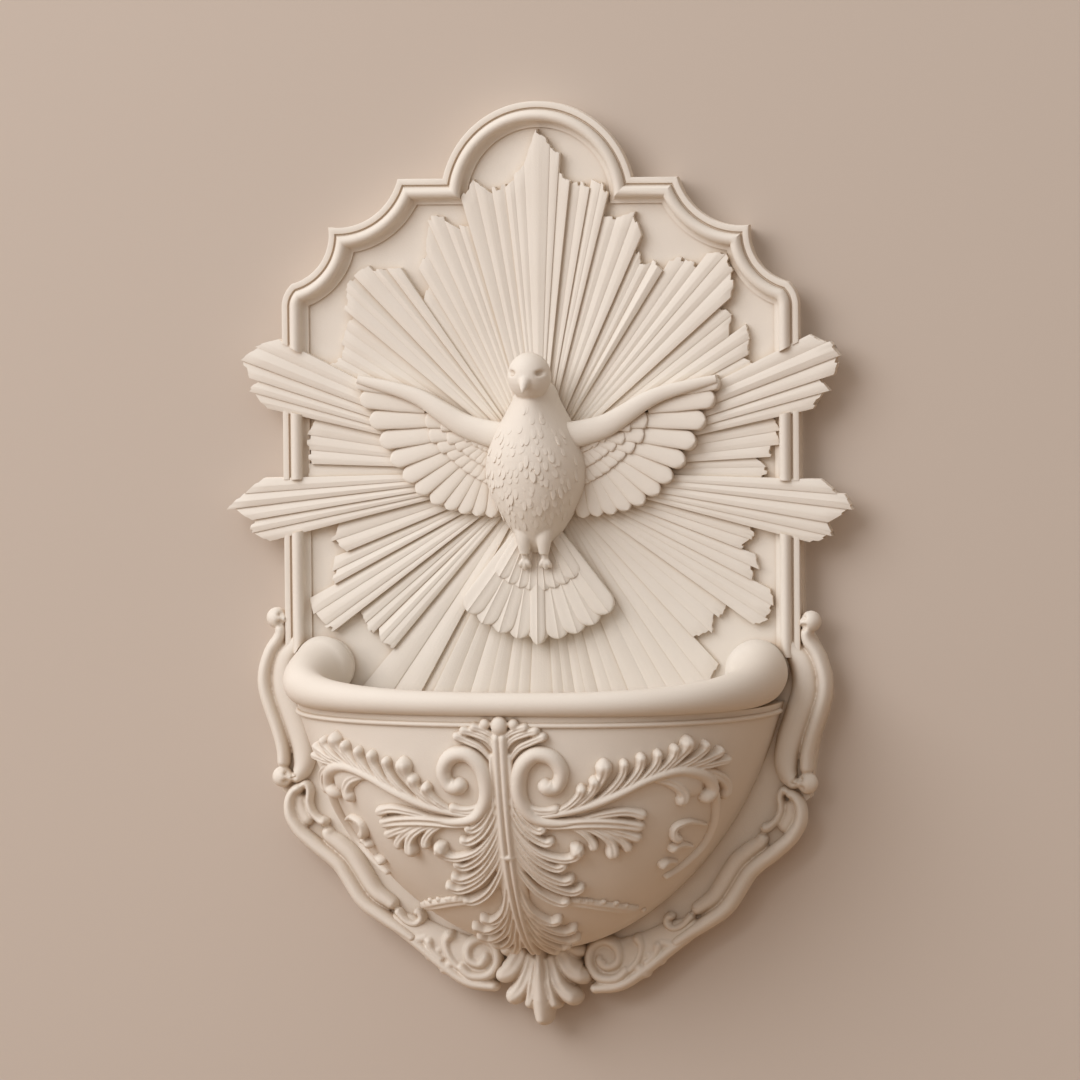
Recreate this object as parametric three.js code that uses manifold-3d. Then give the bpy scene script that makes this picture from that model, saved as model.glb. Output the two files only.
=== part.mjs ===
// Holy water stoup for a wall: a scalloped back plate with a glory of rays, a dove,
// a half-round basin with acanthus carving and a lift-out water liner.
// Lengths are millimetres. The model is drawn as seen on the wall, with x to the right,
// y up and z out of the wall; the group turns it so that +Z is up and -Y faces the room.
import * as THREE from 'three';
import { mergeVertices } from 'three/addons/utils/BufferGeometryUtils.js';
import Module from 'manifold-3d';

const wasm = await Module();
wasm.setup();

// Clearances
const GAP = 0.3; // air between two pieces that touch
const WELD = 0.4; // how far neighbouring forms of one casting run into each other

// Back plate and its outline, right-hand half
const PLATE_THICK = 10;
const PLATE_INSET = 1.5; // the plate stands back from the moulding's outer edge
const CROWN_RADIUS = 51.3;
const CROWN_Y = 140.4; // centre of the crown arch
const STEP_Y = 152; // top of the straight step beside the crown
const STEP_X = 74;
const CUSP_X = 111.5; // point between the two scallops
const CUSP_Y = 127;
const UPPER_SCALLOP_DIP = 8.5;
const LOWER_SCALLOP_DIP = 6.8;
const SHOULDER_DROP_X = 5.6; // shoulder corner, measured in from the stile
const SHOULDER_Y = 97.7;
const SHOULDER_RADIUS = 16;
const STILE_TOP_Y = 85.5;

// Moulding round the plate, from its outer edge inwards
const FILLET_WIDE = 2.6;
const FILLET_HIGH = 6;
const GROOVE_WIDE = 1;
const GROOVE_HIGH = 4.6;
const TORUS_WIDE = 5.6;
const TORUS_HIGH = 8.8;
const COVE_WIDE = 4.2;
const COVE_LIP = 1.2;

// Glory of rays
const RAY_ROOT = 24; // rays start this far from the centre
const RAY_VALLEY = 3; // height of the valleys between rays
const RAY_PITCH = 0.42; // rise of a ridge for each unit of half width
const RAY_HALF_WIDEST = 8;
const RAY_LIFT = 2; // the long side rays stand this much prouder
const ARM_OVERHANG = 32; // the longest rays reach this far past the stile
const RAY_FOOT_CLEAR = 9; // the lowest rays stop this far above the bowl

// Dove
const BODY_HALF_WIDTH = 26.5;
const BODY_SWELL = 31; // how far the breast stands off the rays
const BODY_TOP_Y = 44;
const BODY_FOOT_Y = -38;
const HEAD_Y = 50;
const HEAD_HALF_WIDTH = 10.6;
const HEAD_HALF_HEIGHT = 12;
const HEAD_OFF = 20; // head centre off the rays
const BEAK_LENGTH = 9;
const BEAK_RADIUS = 3.6;
const WING_REACH = 97.5; // from the dove's centre to the wing tip
const WING_THICK = 4;
const COVERT_THICK = 2.6;
const ARM_RADIUS = 5.5;
const FEATHER_NOTCH = 3;
const TAIL_THICK = 4.5;
const TAIL_RADIUS = 57;
const TAIL_SPREAD = 46; // degrees each side of straight down
const TAIL_FEATHERS = 9;
const TAIL_CENTRE_Y = -31;
const FOOT_X = 5.5;
const FOOT_Y = -46;
const FOOT_LENGTH = 17;

// Bowl of the basin
const BOWL_HALF_WIDTH = 127.5;
const BOWL_FRONT = 117; // from the wall to the front of the bowl's top edge
const BOWL_TOP_Y = -119;
const BOWL_BOTTOM_Y = -250;
const BOWL_SQUARENESS = 2.4; // power of the plan curve, 2 is an ellipse
const BOWL_DROP = 2.6; // power of the side curve
const BOWL_TAPER = 0.3;
const BOWL_LEAN = 0.15;

// Rolled rim, with a bulb at each end, and the bead below it
const RIM_RADIUS = 6;
const RIM_END_RADIUS = 16.5;
const RIM_OVERHANG = 4.5;
const BEAD_RADIUS = 1.3;
const BEAD_DROP = 4.5;

// Water liner and the well it stands in
const LINER_HALF_WIDTH = 90;
const LINER_HEIGHT = 44;
const LINER_WALL = 2;
const LINER_TAPER = 0.9;
const LINER_SQUARENESS = 3;
const LIP_WIDE = 6;
const LIP_THICK = 2;
const LIP_MARGIN = 5; // from the lip to the rim's inner side at the front
const LIFT_CLEAR = 4; // from the lip to the tail feathers as the liner is lifted
const WELL_CLEAR = 1.5;

// Scroll mouldings beside the bowl
const STILE_MARGIN = 9.5; // the stile stands this far outside the bowl
const SCROLL_WIDE = 15;
const SCROLL_HIGH = 9;
const SCROLL_GROOVE = 4.5; // height of the groove between its two beads
const SCROLL_BULGE = 17;
const SCROLL_TOP_DROP = 43; // from the bowl's top edge up to the scroll's head
const LOWER_SCROLL_WIDE = 12;
const KNOB_RADIUS = 5.5;
const VOLUTE_X = 36;
const VOLUTE_DROP = 7; // volute centre below the bowl's bottom
const VOLUTE_RADIUS = 10.5;
const VOLUTE_BAND = 6.6;
const VOLUTE_EYE = 3.2;
const VOLUTE_HIGH = 8;
const PENDANT_LENGTH = 37;
const PENDANT_HALF_WIDTH = 20;
const PENDANT_HIGH = 19;

// Acanthus carving on the bowl
const CARVING_GAP = 0.4; // air behind the carving, square to the bowl
const STEM_HALF_WIDTH = 3.4;
const LEAF_HIGH = 5;
const LOBE_HALF_WIDTH = 3;
const CURL_RADIUS = 11; // volutes beside the stem
const CURL_EYE = 4.2;

// Fixings
const HANGER_X = 62;
const HANGER_Y = 88;
const HANGER_WIDE = 16;
const HANGER_TALL = 44;
const HANGER_THICK = 2;
const HANGER_SUNK = 0.5;
const KEYHOLE_RADIUS = 5;
const KEYHOLE_SLOT = 2.5;
const KEYHOLE_RISE = 9;
const KEYHOLE_POCKET = 6.5;
const HANGER_SCREW_SPACING = 32;
const HANGER_SCREW = { head: 3.2, shank: 1.6, sink: 1.4, length: 6 };
const BASIN_SCREW = { head: 6, shank: 3, sink: 3, length: 34 };
const BASIN_SCREW_X = 45;
const BASIN_SCREW_RISE = 45; // above the bowl's bottom
const DOVE_SCREW = { head: 5, shank: 2.4, sink: 2.6, length: 34 };
const DOVE_SCREW_Y = 20;

// Planes and edges that follow from the sizes above
const FIELD = PLATE_THICK + GAP; // where everything on the plate's face starts
const STILE_X = BOWL_HALF_WIDTH + STILE_MARGIN;
const MOULDING_WIDE = FILLET_WIDE + GROOVE_WIDE + TORUS_WIDE + COVE_WIDE;
const GLORY_REACH = STILE_X + ARM_OVERHANG;
const RAY_CREST = FIELD + RAY_VALLEY + RAY_LIFT + RAY_PITCH * RAY_HALF_WIDEST;
const DOVE_BACK = RAY_CREST + GAP;
const TAIL_FRONT = DOVE_BACK + TAIL_THICK;
const RIM_BASE = BOWL_TOP_Y + GAP;
const SCROLL_TOP_Y = BOWL_TOP_Y + SCROLL_TOP_DROP;
const LIP_BACK = TAIL_FRONT + LIFT_CLEAR;
const LINER_BACK = LIP_BACK + LIP_WIDE;
const LINER_FRONT = BOWL_FRONT - RIM_RADIUS - LIP_MARGIN - LIP_WIDE;
const LINER_TOP_Y = RIM_BASE + LIP_THICK;
const LINER_BOTTOM_Y = LINER_TOP_Y - LINER_HEIGHT;
const DEG = Math.PI / 180;

// Materials
const castIvory = new THREE.MeshStandardMaterial({ color: 0xe3d8ca, roughness: 0.72, metalness: 0 });
const linerIvory = new THREE.MeshStandardMaterial({ color: 0xd8d2c8, roughness: 0.4, metalness: 0 });
const zincSteel = new THREE.MeshStandardMaterial({ color: 0xb4b6b8, roughness: 0.35, metalness: 1 });

const stoup = new THREE.Group();
stoup.rotation.x = Math.PI / 2;

function add(name, geometry, material) {
  const mesh = new THREE.Mesh(geometry, material.clone());
  mesh.name = name;
  stoup.add(mesh);
}

function addPair(name, geometry, material) {
  add(`${name}_right`, geometry, material);
  add(`${name}_left`, mirrored(geometry), material);
}

// Closed bodies

function outward(positions, index) {
  let volume = 0;
  const corner = (i) => new THREE.Vector3().fromArray(positions, 3 * i);
  for (let i = 0; i < index.length; i += 3) {
    volume += corner(index[i]).dot(corner(index[i + 1]).cross(corner(index[i + 2])));
  }
  const geometry = new THREE.BufferGeometry();
  geometry.setAttribute('position', new THREE.Float32BufferAttribute(positions, 3));
  geometry.setIndex(volume < 0 ? [...index].reverse() : [...index]);
  return geometry;
}

function bare(geometry) {
  const copy = geometry.clone();
  copy.deleteAttribute('normal');
  copy.deleteAttribute('uv');
  return mergeVertices(copy, 1e-4);
}

function mirrored(geometry) {
  const copy = bare(geometry).scale(-1, 1, 1);
  return outward(Array.from(copy.attributes.position.array), Array.from(copy.index.array));
}

function solid(geometry) {
  const merged = bare(geometry);
  return new wasm.Manifold(new wasm.Mesh({
    numProp: 3,
    vertProperties: Float32Array.from(merged.attributes.position.array),
    triVerts: Uint32Array.from(merged.index.array),
  }));
}

function geometryOf(body) {
  const mesh = body.getMesh();
  return outward(Array.from(mesh.vertProperties), Array.from(mesh.triVerts));
}

function unite(geometries) {
  return geometryOf(geometries.map(solid).reduce((whole, part) => whole.add(part)));
}

function cut(geometry, tools) {
  return geometryOf(tools.map(solid).reduce((whole, tool) => whole.subtract(tool), solid(geometry)));
}

function common(geometry, other) {
  return geometryOf(solid(geometry).intersect(solid(other)));
}

function capFaces(ring) {
  const normal = new THREE.Vector3();
  ring.forEach((p, i) => {
    const q = ring[(i + 1) % ring.length];
    normal.x += (p.y - q.y) * (p.z + q.z);
    normal.y += (p.z - q.z) * (p.x + q.x);
    normal.z += (p.x - q.x) * (p.y + q.y);
  });
  const size = [Math.abs(normal.x), Math.abs(normal.y), Math.abs(normal.z)];
  const drop = size.indexOf(Math.max(...size));
  const kept = [['y', 'z'], ['x', 'z'], ['x', 'y']][drop];
  const flat = ring.map((p) => new THREE.Vector2(p[kept[0]], p[kept[1]]));
  return THREE.ShapeUtils.triangulateShape(flat, []).map((face) => face.sort((a, b) => a - b));
}

// Skins a row of rings that have the same number of points, and closes both ends.
function loft(rings) {
  const count = rings[0].length;
  const last = (rings.length - 1) * count;
  const index = [];
  for (let r = 0; r + 1 < rings.length; r += 1) {
    for (let i = 0; i < count; i += 1) {
      const a = r * count + i;
      const b = r * count + ((i + 1) % count);
      index.push(a, b, b + count, a, b + count, a + count);
    }
  }
  capFaces(rings[0]).forEach(([a, b, c]) => index.push(c, b, a));
  capFaces(rings.at(-1)).forEach(([a, b, c]) => index.push(a + last, b + last, c + last));
  return outward(rings.flat().flatMap((p) => [p.x, p.y, p.z]), index);
}

function prism(points, back, front) {
  const shape = new THREE.Shape(points);
  const geometry = new THREE.ExtrudeGeometry(shape, { depth: front - back, bevelEnabled: false });
  return geometry.translate(0, 0, back);
}

// Ball that stands on the plate's face, flat where it meets it.
function knob(radius, x, y, z) {
  const geometry = new THREE.SphereGeometry(radius, 8, 6).rotateX(Math.PI / 2).translate(x, y, z);
  const spots = geometry.attributes.position;
  for (let i = 0; i < spots.count; i += 1) spots.setZ(i, Math.max(spots.getZ(i), FIELD));
  return geometry;
}

// Outlines

const point = (x, y) => new THREE.Vector2(x, y);

function splinePoints(controls, steps) {
  const curve = new THREE.SplineCurve(controls.map(([x, y]) => point(x, y)));
  return curve.getSpacedPoints(steps);
}

// Direction that moves each point of a path inwards by one unit, mitred at its corners.
function mitres(path) {
  const normals = path.slice(1).map((p, i) => {
    const way = p.clone().sub(path[i]).normalize();
    return point(way.y, -way.x);
  });
  return path.map((_, i) => {
    const before = normals[Math.max(i - 1, 0)];
    const after = normals[Math.min(i, normals.length - 1)];
    return before.clone().add(after).divideScalar(1 + before.dot(after));
  });
}

function offsetPath(path, inwards) {
  const shift = mitres(path);
  return path.map((p, i) => p.clone().addScaledVector(shift[i], inwards));
}

// Sweeps a moulding profile of (inward, height) points along a path, with given mitres.
function sweep(path, shift, profile) {
  return loft(path.map((p, i) => profile.map(([inwards, high]) => new THREE.Vector3(
    p.x + shift[i].x * inwards,
    p.y + shift[i].y * inwards,
    high,
  ))));
}

// Upper edge of the plate, right-hand half, as arcs and straight stretches that can be moved
// inwards: an arc by changing its radius, a straight stretch by shifting it.

// Arc between two points whose middle dips inwards, to the right of the way it runs.
function dippedArc(from, to, dip, steps) {
  const chord = to.clone().sub(from);
  const half = chord.length() / 2;
  const radius = (half * half + dip * dip) / (2 * dip);
  const inner = point(chord.y, -chord.x).normalize();
  const centre = from.clone().add(to).multiplyScalar(0.5).addScaledVector(inner, dip - radius);
  return { centre, radius, grow: 1, steps };
}

const cuspPoint = point(CUSP_X, CUSP_Y);
const shoulderPoint = point(STILE_X - SHOULDER_DROP_X, SHOULDER_Y);
const stepPoint = point(STEP_X, STEP_Y);
const UPPER_EDGE = [
  { centre: point(0, CROWN_Y), radius: CROWN_RADIUS, grow: -1, steps: 9 },
  { through: stepPoint, inner: point(0, -1), steps: 1 },
  dippedArc(stepPoint, cuspPoint, UPPER_SCALLOP_DIP, 6),
  dippedArc(cuspPoint, shoulderPoint, LOWER_SCALLOP_DIP, 5),
  { centre: point(STILE_X - SHOULDER_RADIUS, STILE_TOP_Y), radius: SHOULDER_RADIUS, grow: -1, steps: 3 },
];
const CROWN_STEPS = UPPER_EDGE[0].steps;
const EDGE_CORNERS = [
  point(Math.sqrt(CROWN_RADIUS ** 2 - (STEP_Y - CROWN_Y) ** 2), STEP_Y),
  stepPoint,
  cuspPoint,
  shoulderPoint,
];

// Crossing of a circle with a straight line or another circle, on the side near a given point.
function crossing(circle, other, near) {
  const foot = point(0, 0);
  let away = 0;
  if (other.inner) {
    away = other.through.clone().sub(circle.centre).dot(other.inner);
    foot.copy(circle.centre).addScaledVector(other.inner, away);
  } else {
    const link = other.centre.clone().sub(circle.centre);
    const span = link.length();
    away = (span * span + circle.radius ** 2 - other.radius ** 2) / (2 * span);
    foot.copy(circle.centre).addScaledVector(link, away / span);
  }
  const half = Math.sqrt(circle.radius ** 2 - away * away);
  const along = foot.clone().sub(circle.centre).normalize().rotateAround(point(0, 0), Math.PI / 2);
  const level = other.inner ? point(-other.inner.y, other.inner.x) : along;
  const ends = [1, -1].map((side) => foot.clone().addScaledVector(level, side * half));
  return ends.sort((p, q) => p.distanceTo(near) - q.distanceTo(near))[0];
}

function movedIn(stretch, inwards) {
  if (stretch.inner) {
    return { ...stretch, through: stretch.through.clone().addScaledVector(stretch.inner, inwards) };
  }
  return { ...stretch, radius: stretch.radius + stretch.grow * inwards };
}

// Points of the upper edge moved inwards, from the top of the crown to the head of the stile.
function upperEdge(inwards) {
  const moved = UPPER_EDGE.map((stretch) => movedIn(stretch, inwards));
  const corners = EDGE_CORNERS.map((near, i) => {
    const [circle, other] = moved[i].inner ? [moved[i + 1], moved[i]] : [moved[i], moved[i + 1]];
    return crossing(circle, other, near);
  });
  const ends = [...corners, point(STILE_X - inwards, STILE_TOP_Y)];
  const points = [point(0, CROWN_Y + CROWN_RADIUS - inwards)];
  moved.forEach((stretch, i) => {
    const from = points.at(-1);
    if (stretch.inner) {
      points.push(ends[i]);
      return;
    }
    const start = from.clone().sub(stretch.centre).angle();
    const end = ends[i].clone().sub(stretch.centre).angle();
    const turn = ((end - start + 3 * Math.PI) % (2 * Math.PI)) - Math.PI;
    for (let k = 1; k <= stretch.steps; k += 1) {
      points.push(from.clone().rotateAround(stretch.centre, (turn * k) / stretch.steps));
    }
  });
  return points;
}

function bowlShare(y) {
  return Math.min(Math.max((BOWL_TOP_Y - y) / (BOWL_TOP_Y - BOWL_BOTTOM_Y), 0), 0.9999);
}

function bowlHalfWidth(y) {
  const t = bowlShare(y);
  return BOWL_HALF_WIDTH * (1 - BOWL_TAPER * t) * Math.sqrt(1 - t ** BOWL_DROP);
}

function bowlReach(y) {
  const t = bowlShare(y);
  return (BOWL_FRONT - FIELD) * (1 - BOWL_LEAN * t) * Math.sqrt(1 - t ** BOWL_DROP);
}

// Depth of the bowl's face in front of a point on the wall.
function bowlFace(x, y) {
  const across = Math.min(Math.abs(x) / bowlHalfWidth(y), 1);
  return FIELD + bowlReach(y) * (1 - across ** BOWL_SQUARENESS) ** (1 / BOWL_SQUARENESS);
}

const bowlY = (share) => BOWL_TOP_Y + (BOWL_BOTTOM_Y - BOWL_TOP_Y) * share;

// Outer edge of the upper scroll: share of the way down, and swell past the stile.
const lowerScrollHead = bowlY(0.39);
const upperScrollPath = splinePoints([
  [0, 0.1],
  [0.2, 0.74],
  [0.36, 0.97],
  [0.5, 0.88],
  [0.66, 0.58],
  [0.8, 0.44],
  [1, 0.3],
].map(([down, swell]) => [
  STILE_X + SCROLL_BULGE * swell,
  SCROLL_TOP_Y + (lowerScrollHead - SCROLL_TOP_Y) * down,
]), 9);

// Outer edge of the lower scroll: share of the bowl's height, and distance outside the bowl.
const lowerScrollPath = splinePoints([
  [0.424, 30.7],
  [0.492, 39.6],
  [0.56, 40.3],
  [0.629, 37],
  [0.697, 33.7],
  [0.775, 38.2],
  [0.853, 43.6],
  [0.912, 46],
  [0.941, 45.7],
].map(([share, outside]) => [bowlHalfWidth(bowlY(share)) + outside, bowlY(share)]), 10);

const voluteY = BOWL_BOTTOM_Y - VOLUTE_DROP;
const pendantTopY = BOWL_BOTTOM_Y - PENDANT_HALF_WIDTH * 0.18;
const pendantTipY = pendantTopY - PENDANT_LENGTH;

// Plate

const LOWER_EDGE = [
  ...upperScrollPath,
  ...lowerScrollPath,
  point(VOLUTE_X + VOLUTE_RADIUS, voluteY - VOLUTE_RADIUS / 2),
  point(VOLUTE_X / 2, voluteY - VOLUTE_RADIUS),
  point(0, pendantTipY + PENDANT_LENGTH / 4),
];

function plateOutline(inset) {
  const lower = offsetPath(LOWER_EDGE, inset);
  lower.at(-1).x = 0;
  const half = [...upperEdge(inset), ...lower];
  const left = half.slice(1, -1).reverse();
  return [...half, ...left.map((p) => point(-p.x, p.y))];
}

function screw({ head, shank, sink, length }, grow, tail) {
  const profile = [
    point(0, -tail),
    point(head + grow, -tail),
    point(head + grow, 0),
    point(shank + grow, sink),
    point(shank + grow, length + grow),
    point(0, length + 2 * grow),
  ];
  const points = tail > 0 ? profile : [point(0, 0), ...profile.slice(2)];
  return new THREE.LatheGeometry(points, 10).rotateX(Math.PI / 2);
}

function circlePoints(radius, steps, x, y) {
  return Array.from({ length: steps }, (_, i) => {
    const angle = (2 * Math.PI * i) / steps;
    return point(x + radius * Math.cos(angle), y + radius * Math.sin(angle));
  });
}

// Round hole below and a narrow slot above it, open to one another.
function keyholePoints(radius, slot) {
  const lean = Math.asin(slot / radius);
  const round = Array.from({ length: 10 }, (_, i) => {
    const angle = Math.PI / 2 + lean + ((2 * Math.PI - 2 * lean) * i) / 9;
    return point(radius * Math.cos(angle), radius * Math.sin(angle));
  });
  const top = Array.from({ length: 5 }, (_, i) => {
    const angle = (Math.PI * i) / 4;
    return point(slot * Math.cos(angle), KEYHOLE_RISE + slot * Math.sin(angle));
  });
  return [...round, ...top];
}

function rectanglePoints(wide, tall) {
  return [
    point(-wide / 2, -tall / 2),
    point(wide / 2, -tall / 2),
    point(wide / 2, tall / 2),
    point(-wide / 2, tall / 2),
  ];
}

const hangerSpots = [HANGER_X, -HANGER_X];
const hangerScrewSpots = hangerSpots.flatMap((x) => [
  [x, HANGER_Y + HANGER_SCREW_SPACING / 2],
  [x, HANGER_Y - HANGER_SCREW_SPACING / 2],
]);
const basinScrewSpots = [BASIN_SCREW_X, -BASIN_SCREW_X].map((x) => [x, BOWL_BOTTOM_Y + BASIN_SCREW_RISE]);
const doveScrewSpots = [[0, DOVE_SCREW_Y], [0, -DOVE_SCREW_Y]];
const KEYHOLE_Y = -KEYHOLE_RISE / 2;

const plateCutters = [
  ...hangerSpots.flatMap((x) => {
    const bed = rectanglePoints(HANGER_WIDE + 2 * GAP, HANGER_TALL + 2 * GAP);
    const key = keyholePoints(KEYHOLE_RADIUS + 1, KEYHOLE_SLOT + 2);
    return [
      prism(bed, -1, HANGER_SUNK + HANGER_THICK + GAP).translate(x, HANGER_Y, 0),
      prism(key, -1, KEYHOLE_POCKET).translate(x, HANGER_Y + KEYHOLE_Y, 0),
    ];
  }),
  ...hangerScrewSpots.map(([x, y]) => screw(HANGER_SCREW, GAP, 1).translate(x, y, HANGER_SUNK)),
  ...basinScrewSpots.map(([x, y]) => screw(BASIN_SCREW, GAP, 1).translate(x, y, GAP)),
  ...doveScrewSpots.map(([x, y]) => screw(DOVE_SCREW, GAP, 1).translate(x, y, GAP)),
];
add('back_plate', cut(prism(plateOutline(PLATE_INSET), 0, PLATE_THICK), plateCutters), castIvory);

// Border moulding

function mouldingProfile() {
  const grooveAt = FILLET_WIDE + GROOVE_WIDE;
  const torus = Array.from({ length: 5 }, (_, i) => {
    const angle = Math.PI * (1 - i / 4);
    const rise = TORUS_HIGH - GROOVE_HIGH;
    return [
      grooveAt + (TORUS_WIDE / 2) * (1 + Math.cos(angle)),
      FIELD + GROOVE_HIGH + rise * Math.sin(angle),
    ];
  });
  return [
    [0, FIELD],
    [0, FIELD + FILLET_HIGH],
    [FILLET_WIDE, FIELD + FILLET_HIGH],
    [FILLET_WIDE, FIELD + GROOVE_HIGH],
    ...torus,
    [grooveAt + TORUS_WIDE + COVE_WIDE / 3, FIELD + (GROOVE_HIGH + COVE_LIP) / 2],
    [MOULDING_WIDE, FIELD + COVE_LIP],
    [MOULDING_WIDE, FIELD],
  ];
}

const UPPER_ARM = [26.3, 12.6]; // edges of the long upper bundle, in degrees above level
const LOWER_ARM = [-1.6, -14.4];

// Skins the moulding over paths that "pathAt" gives for each distance in from the outer edge.
function moulding(pathAt) {
  const profile = mouldingProfile();
  const paths = profile.map(([inwards]) => pathAt(inwards));
  return loft(paths[0].map((_, i) => profile.map(([, high], k) => new THREE.Vector3(
    paths[k][i].x,
    paths[k][i].y,
    high,
  ))));
}

// Point of the stile, moved inwards, beside the edge of a ray at the given angle.
function stilePoint(inwards, angle, clear) {
  const x = STILE_X - inwards;
  return point(x, x * Math.tan(angle * DEG) + clear / Math.cos(angle * DEG));
}

add('crown_moulding', moulding((inwards) => {
  const half = upperEdge(inwards).slice(0, CROWN_STEPS + 1);
  return [...half.slice(1).reverse().map((p) => point(-p.x, p.y)), ...half];
}), castIvory);

// The first point steps aside so that the mitred joint with the crown keeps its gap.
addPair('shoulder_moulding', moulding((inwards) => {
  const run = upperEdge(inwards).slice(CROWN_STEPS);
  run[0].x += 2 * GAP;
  return [...run, stilePoint(inwards, UPPER_ARM[0], GAP)];
}), castIvory);

addPair('middle_stile', moulding((inwards) => [
  stilePoint(inwards, UPPER_ARM[1], -GAP),
  stilePoint(inwards, LOWER_ARM[0], GAP),
]), castIvory);

addPair('lower_stile', moulding((inwards) => [
  stilePoint(inwards, LOWER_ARM[1], -GAP),
  point(STILE_X - inwards, SCROLL_TOP_Y + GAP),
]), castIvory);

// Glory

const TO_FOOT = 150; // runs past the foot of the glory, where the ray is cut off

// Each ray: its two edges in degrees, and how far it reaches on the first edge, ridge and second edge,
// in percent of the longest reach.
const BUNDLES = {
  top_rays: [
    [96.6, 92.2, 89, 90.5, 93],
    [92.2, 87.8, 99.5, 104, 99.5],
    [87.8, 83.4, 93, 90.5, 89],
  ],
  crown_rays: [
    [83.4, 79.4, 89, 90.5, 88],
    [79.4, 75.6, 92.5, 91, 87],
    [75.6, 71, 81, 83.5, 85],
    [71, 65.8, 86, 84.5, 78.5],
  ],
  shoulder_rays: [
    [65.8, 61, 73.5, 74, 72],
    [61, 56.6, 71, 73.5, 73.5],
    [56.6, 52.4, 78, 80, 81],
    [52.4, 48, 84, 86.5, 87.5],
    [48, 41.6, 87.5, 85, 81],
    [41.6, 36.6, 75, 76.5, 80],
    [36.6, 32.4, 77, 75.5, 74],
    [32.4, UPPER_ARM[0], 72, 75, 75],
  ],
  upper_arm_rays: [
    [UPPER_ARM[0], 21.8, 94.5, 96.5, 99],
    [21.8, 17.8, 100, 100, 97],
    [17.8, UPPER_ARM[1], 91.5, 93, 87.5],
  ],
  middle_rays: [
    [UPPER_ARM[1], 8.2, 75, 76.5, 75],
    [8.2, 4, 73, 72, 72],
    [4, LOWER_ARM[0], 67, 70.5, 70.5],
  ],
  lower_arm_rays: [
    [LOWER_ARM[0], -5.2, 87.5, 92.5, 96],
    [-5.2, -9.6, 97.5, 94.5, 90],
    [-9.6, LOWER_ARM[1], 90, 93, 88],
  ],
  side_rays: [
    [LOWER_ARM[1], -18.6, 68.5, 69, 67.5],
    [-18.6, -22.6, 72, 73.5, 72],
    [-22.6, -26.6, 72, 73, 74],
    [-26.6, -30.8, 80.5, 83, 83.5],
    [-30.8, -35.2, 84, 83.5, 82],
  ],
  basin_rays: [
    [-35.2, -41, 71, 71.5, 71],
    [-41, -47, 71.5, 71.5, 71.5],
    [-47, -51.6, 81, 82, 83],
    [-51.6, -57.4, TO_FOOT, TO_FOOT, TO_FOOT],
    [-57.4, -63.4, TO_FOOT, TO_FOOT, TO_FOOT],
  ],
};
const ARM_BUNDLES = ['upper_arm_rays', 'lower_arm_rays'];
const TAIL_RAYS = 12; // rays of the bundle behind the tail
const TAIL_RAY_EDGE = -63.4;
const RAY_FOOT_Y = BOWL_TOP_Y + RAY_FOOT_CLEAR;

function rayPoint(angle, radius, sideways, high) {
  const along = point(Math.cos(angle * DEG), Math.sin(angle * DEG));
  return new THREE.Vector3(
    along.x * radius - along.y * sideways,
    along.y * radius + along.x * sideways,
    high,
  );
}

function rayRing(edges, radii, sides, valley) {
  const ridgeAngle = (edges[0] + edges[1]) / 2;
  const halfWidth = (radii[1] * Math.abs(edges[0] - edges[1]) * DEG) / 2;
  return [
    rayPoint(edges[0], radii[0], sides[0], FIELD),
    rayPoint(edges[0], radii[0], sides[0], valley),
    rayPoint(ridgeAngle, radii[1], 0, valley + RAY_PITCH * halfWidth),
    rayPoint(edges[1], radii[2], sides[1], valley),
    rayPoint(edges[1], radii[2], sides[1], FIELD),
    rayPoint(ridgeAngle, radii[1], 0, FIELD),
  ];
}

function bundle(rays, lift) {
  const valley = FIELD + RAY_VALLEY + lift;
  return unite(rays.map(([first, second, ...reach], i) => {
    const sides = [i === 0 ? -GAP / 2 : WELD / 2, i === rays.length - 1 ? GAP / 2 : -WELD / 2];
    const radii = reach.map((percent) => (GLORY_REACH * percent) / 100);
    const root = rayRing([first, second], [RAY_ROOT, RAY_ROOT, RAY_ROOT], sides, valley);
    return loft([root, rayRing([first, second], radii, sides, valley)]);
  }));
}

// Flat field inside the moulding, down to the foot of the rays.
function fieldPrism() {
  const half = upperEdge(MOULDING_WIDE + GAP);
  half.push(point(half.at(-1).x, RAY_FOOT_Y));
  const left = half.slice(1).reverse();
  return prism([...half, ...left.map((p) => point(-p.x, p.y))], FIELD - 1, RAY_CREST + 1);
}

const field = fieldPrism();
for (const [name, rays] of Object.entries(BUNDLES)) {
  const long = ARM_BUNDLES.includes(name);
  const body = bundle(rays, long ? RAY_LIFT : 0);
  const shaped = long ? body : common(body, field);
  if (name === 'top_rays') add(name, shaped, castIvory);
  else addPair(name, shaped, castIvory);
}

const tailRaySpan = (180 + 2 * TAIL_RAY_EDGE) / TAIL_RAYS;
const tailRays = Array.from({ length: TAIL_RAYS }, (_, i) => {
  const first = TAIL_RAY_EDGE - tailRaySpan * i;
  return [first, first - tailRaySpan, TO_FOOT, TO_FOOT, TO_FOOT];
});
add('tail_rays', common(bundle(tailRays, 0), field), castIvory);

const hubDisc = prism(circlePoints(RAY_ROOT - GAP, 24, 0, 0), FIELD, DOVE_BACK - GAP);
const doveScrewCutters = doveScrewSpots.map(([x, y]) => screw(DOVE_SCREW, GAP, 1).translate(x, y, GAP));
add('glory_hub', cut(hubDisc, doveScrewCutters), castIvory);

// Dove

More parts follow.
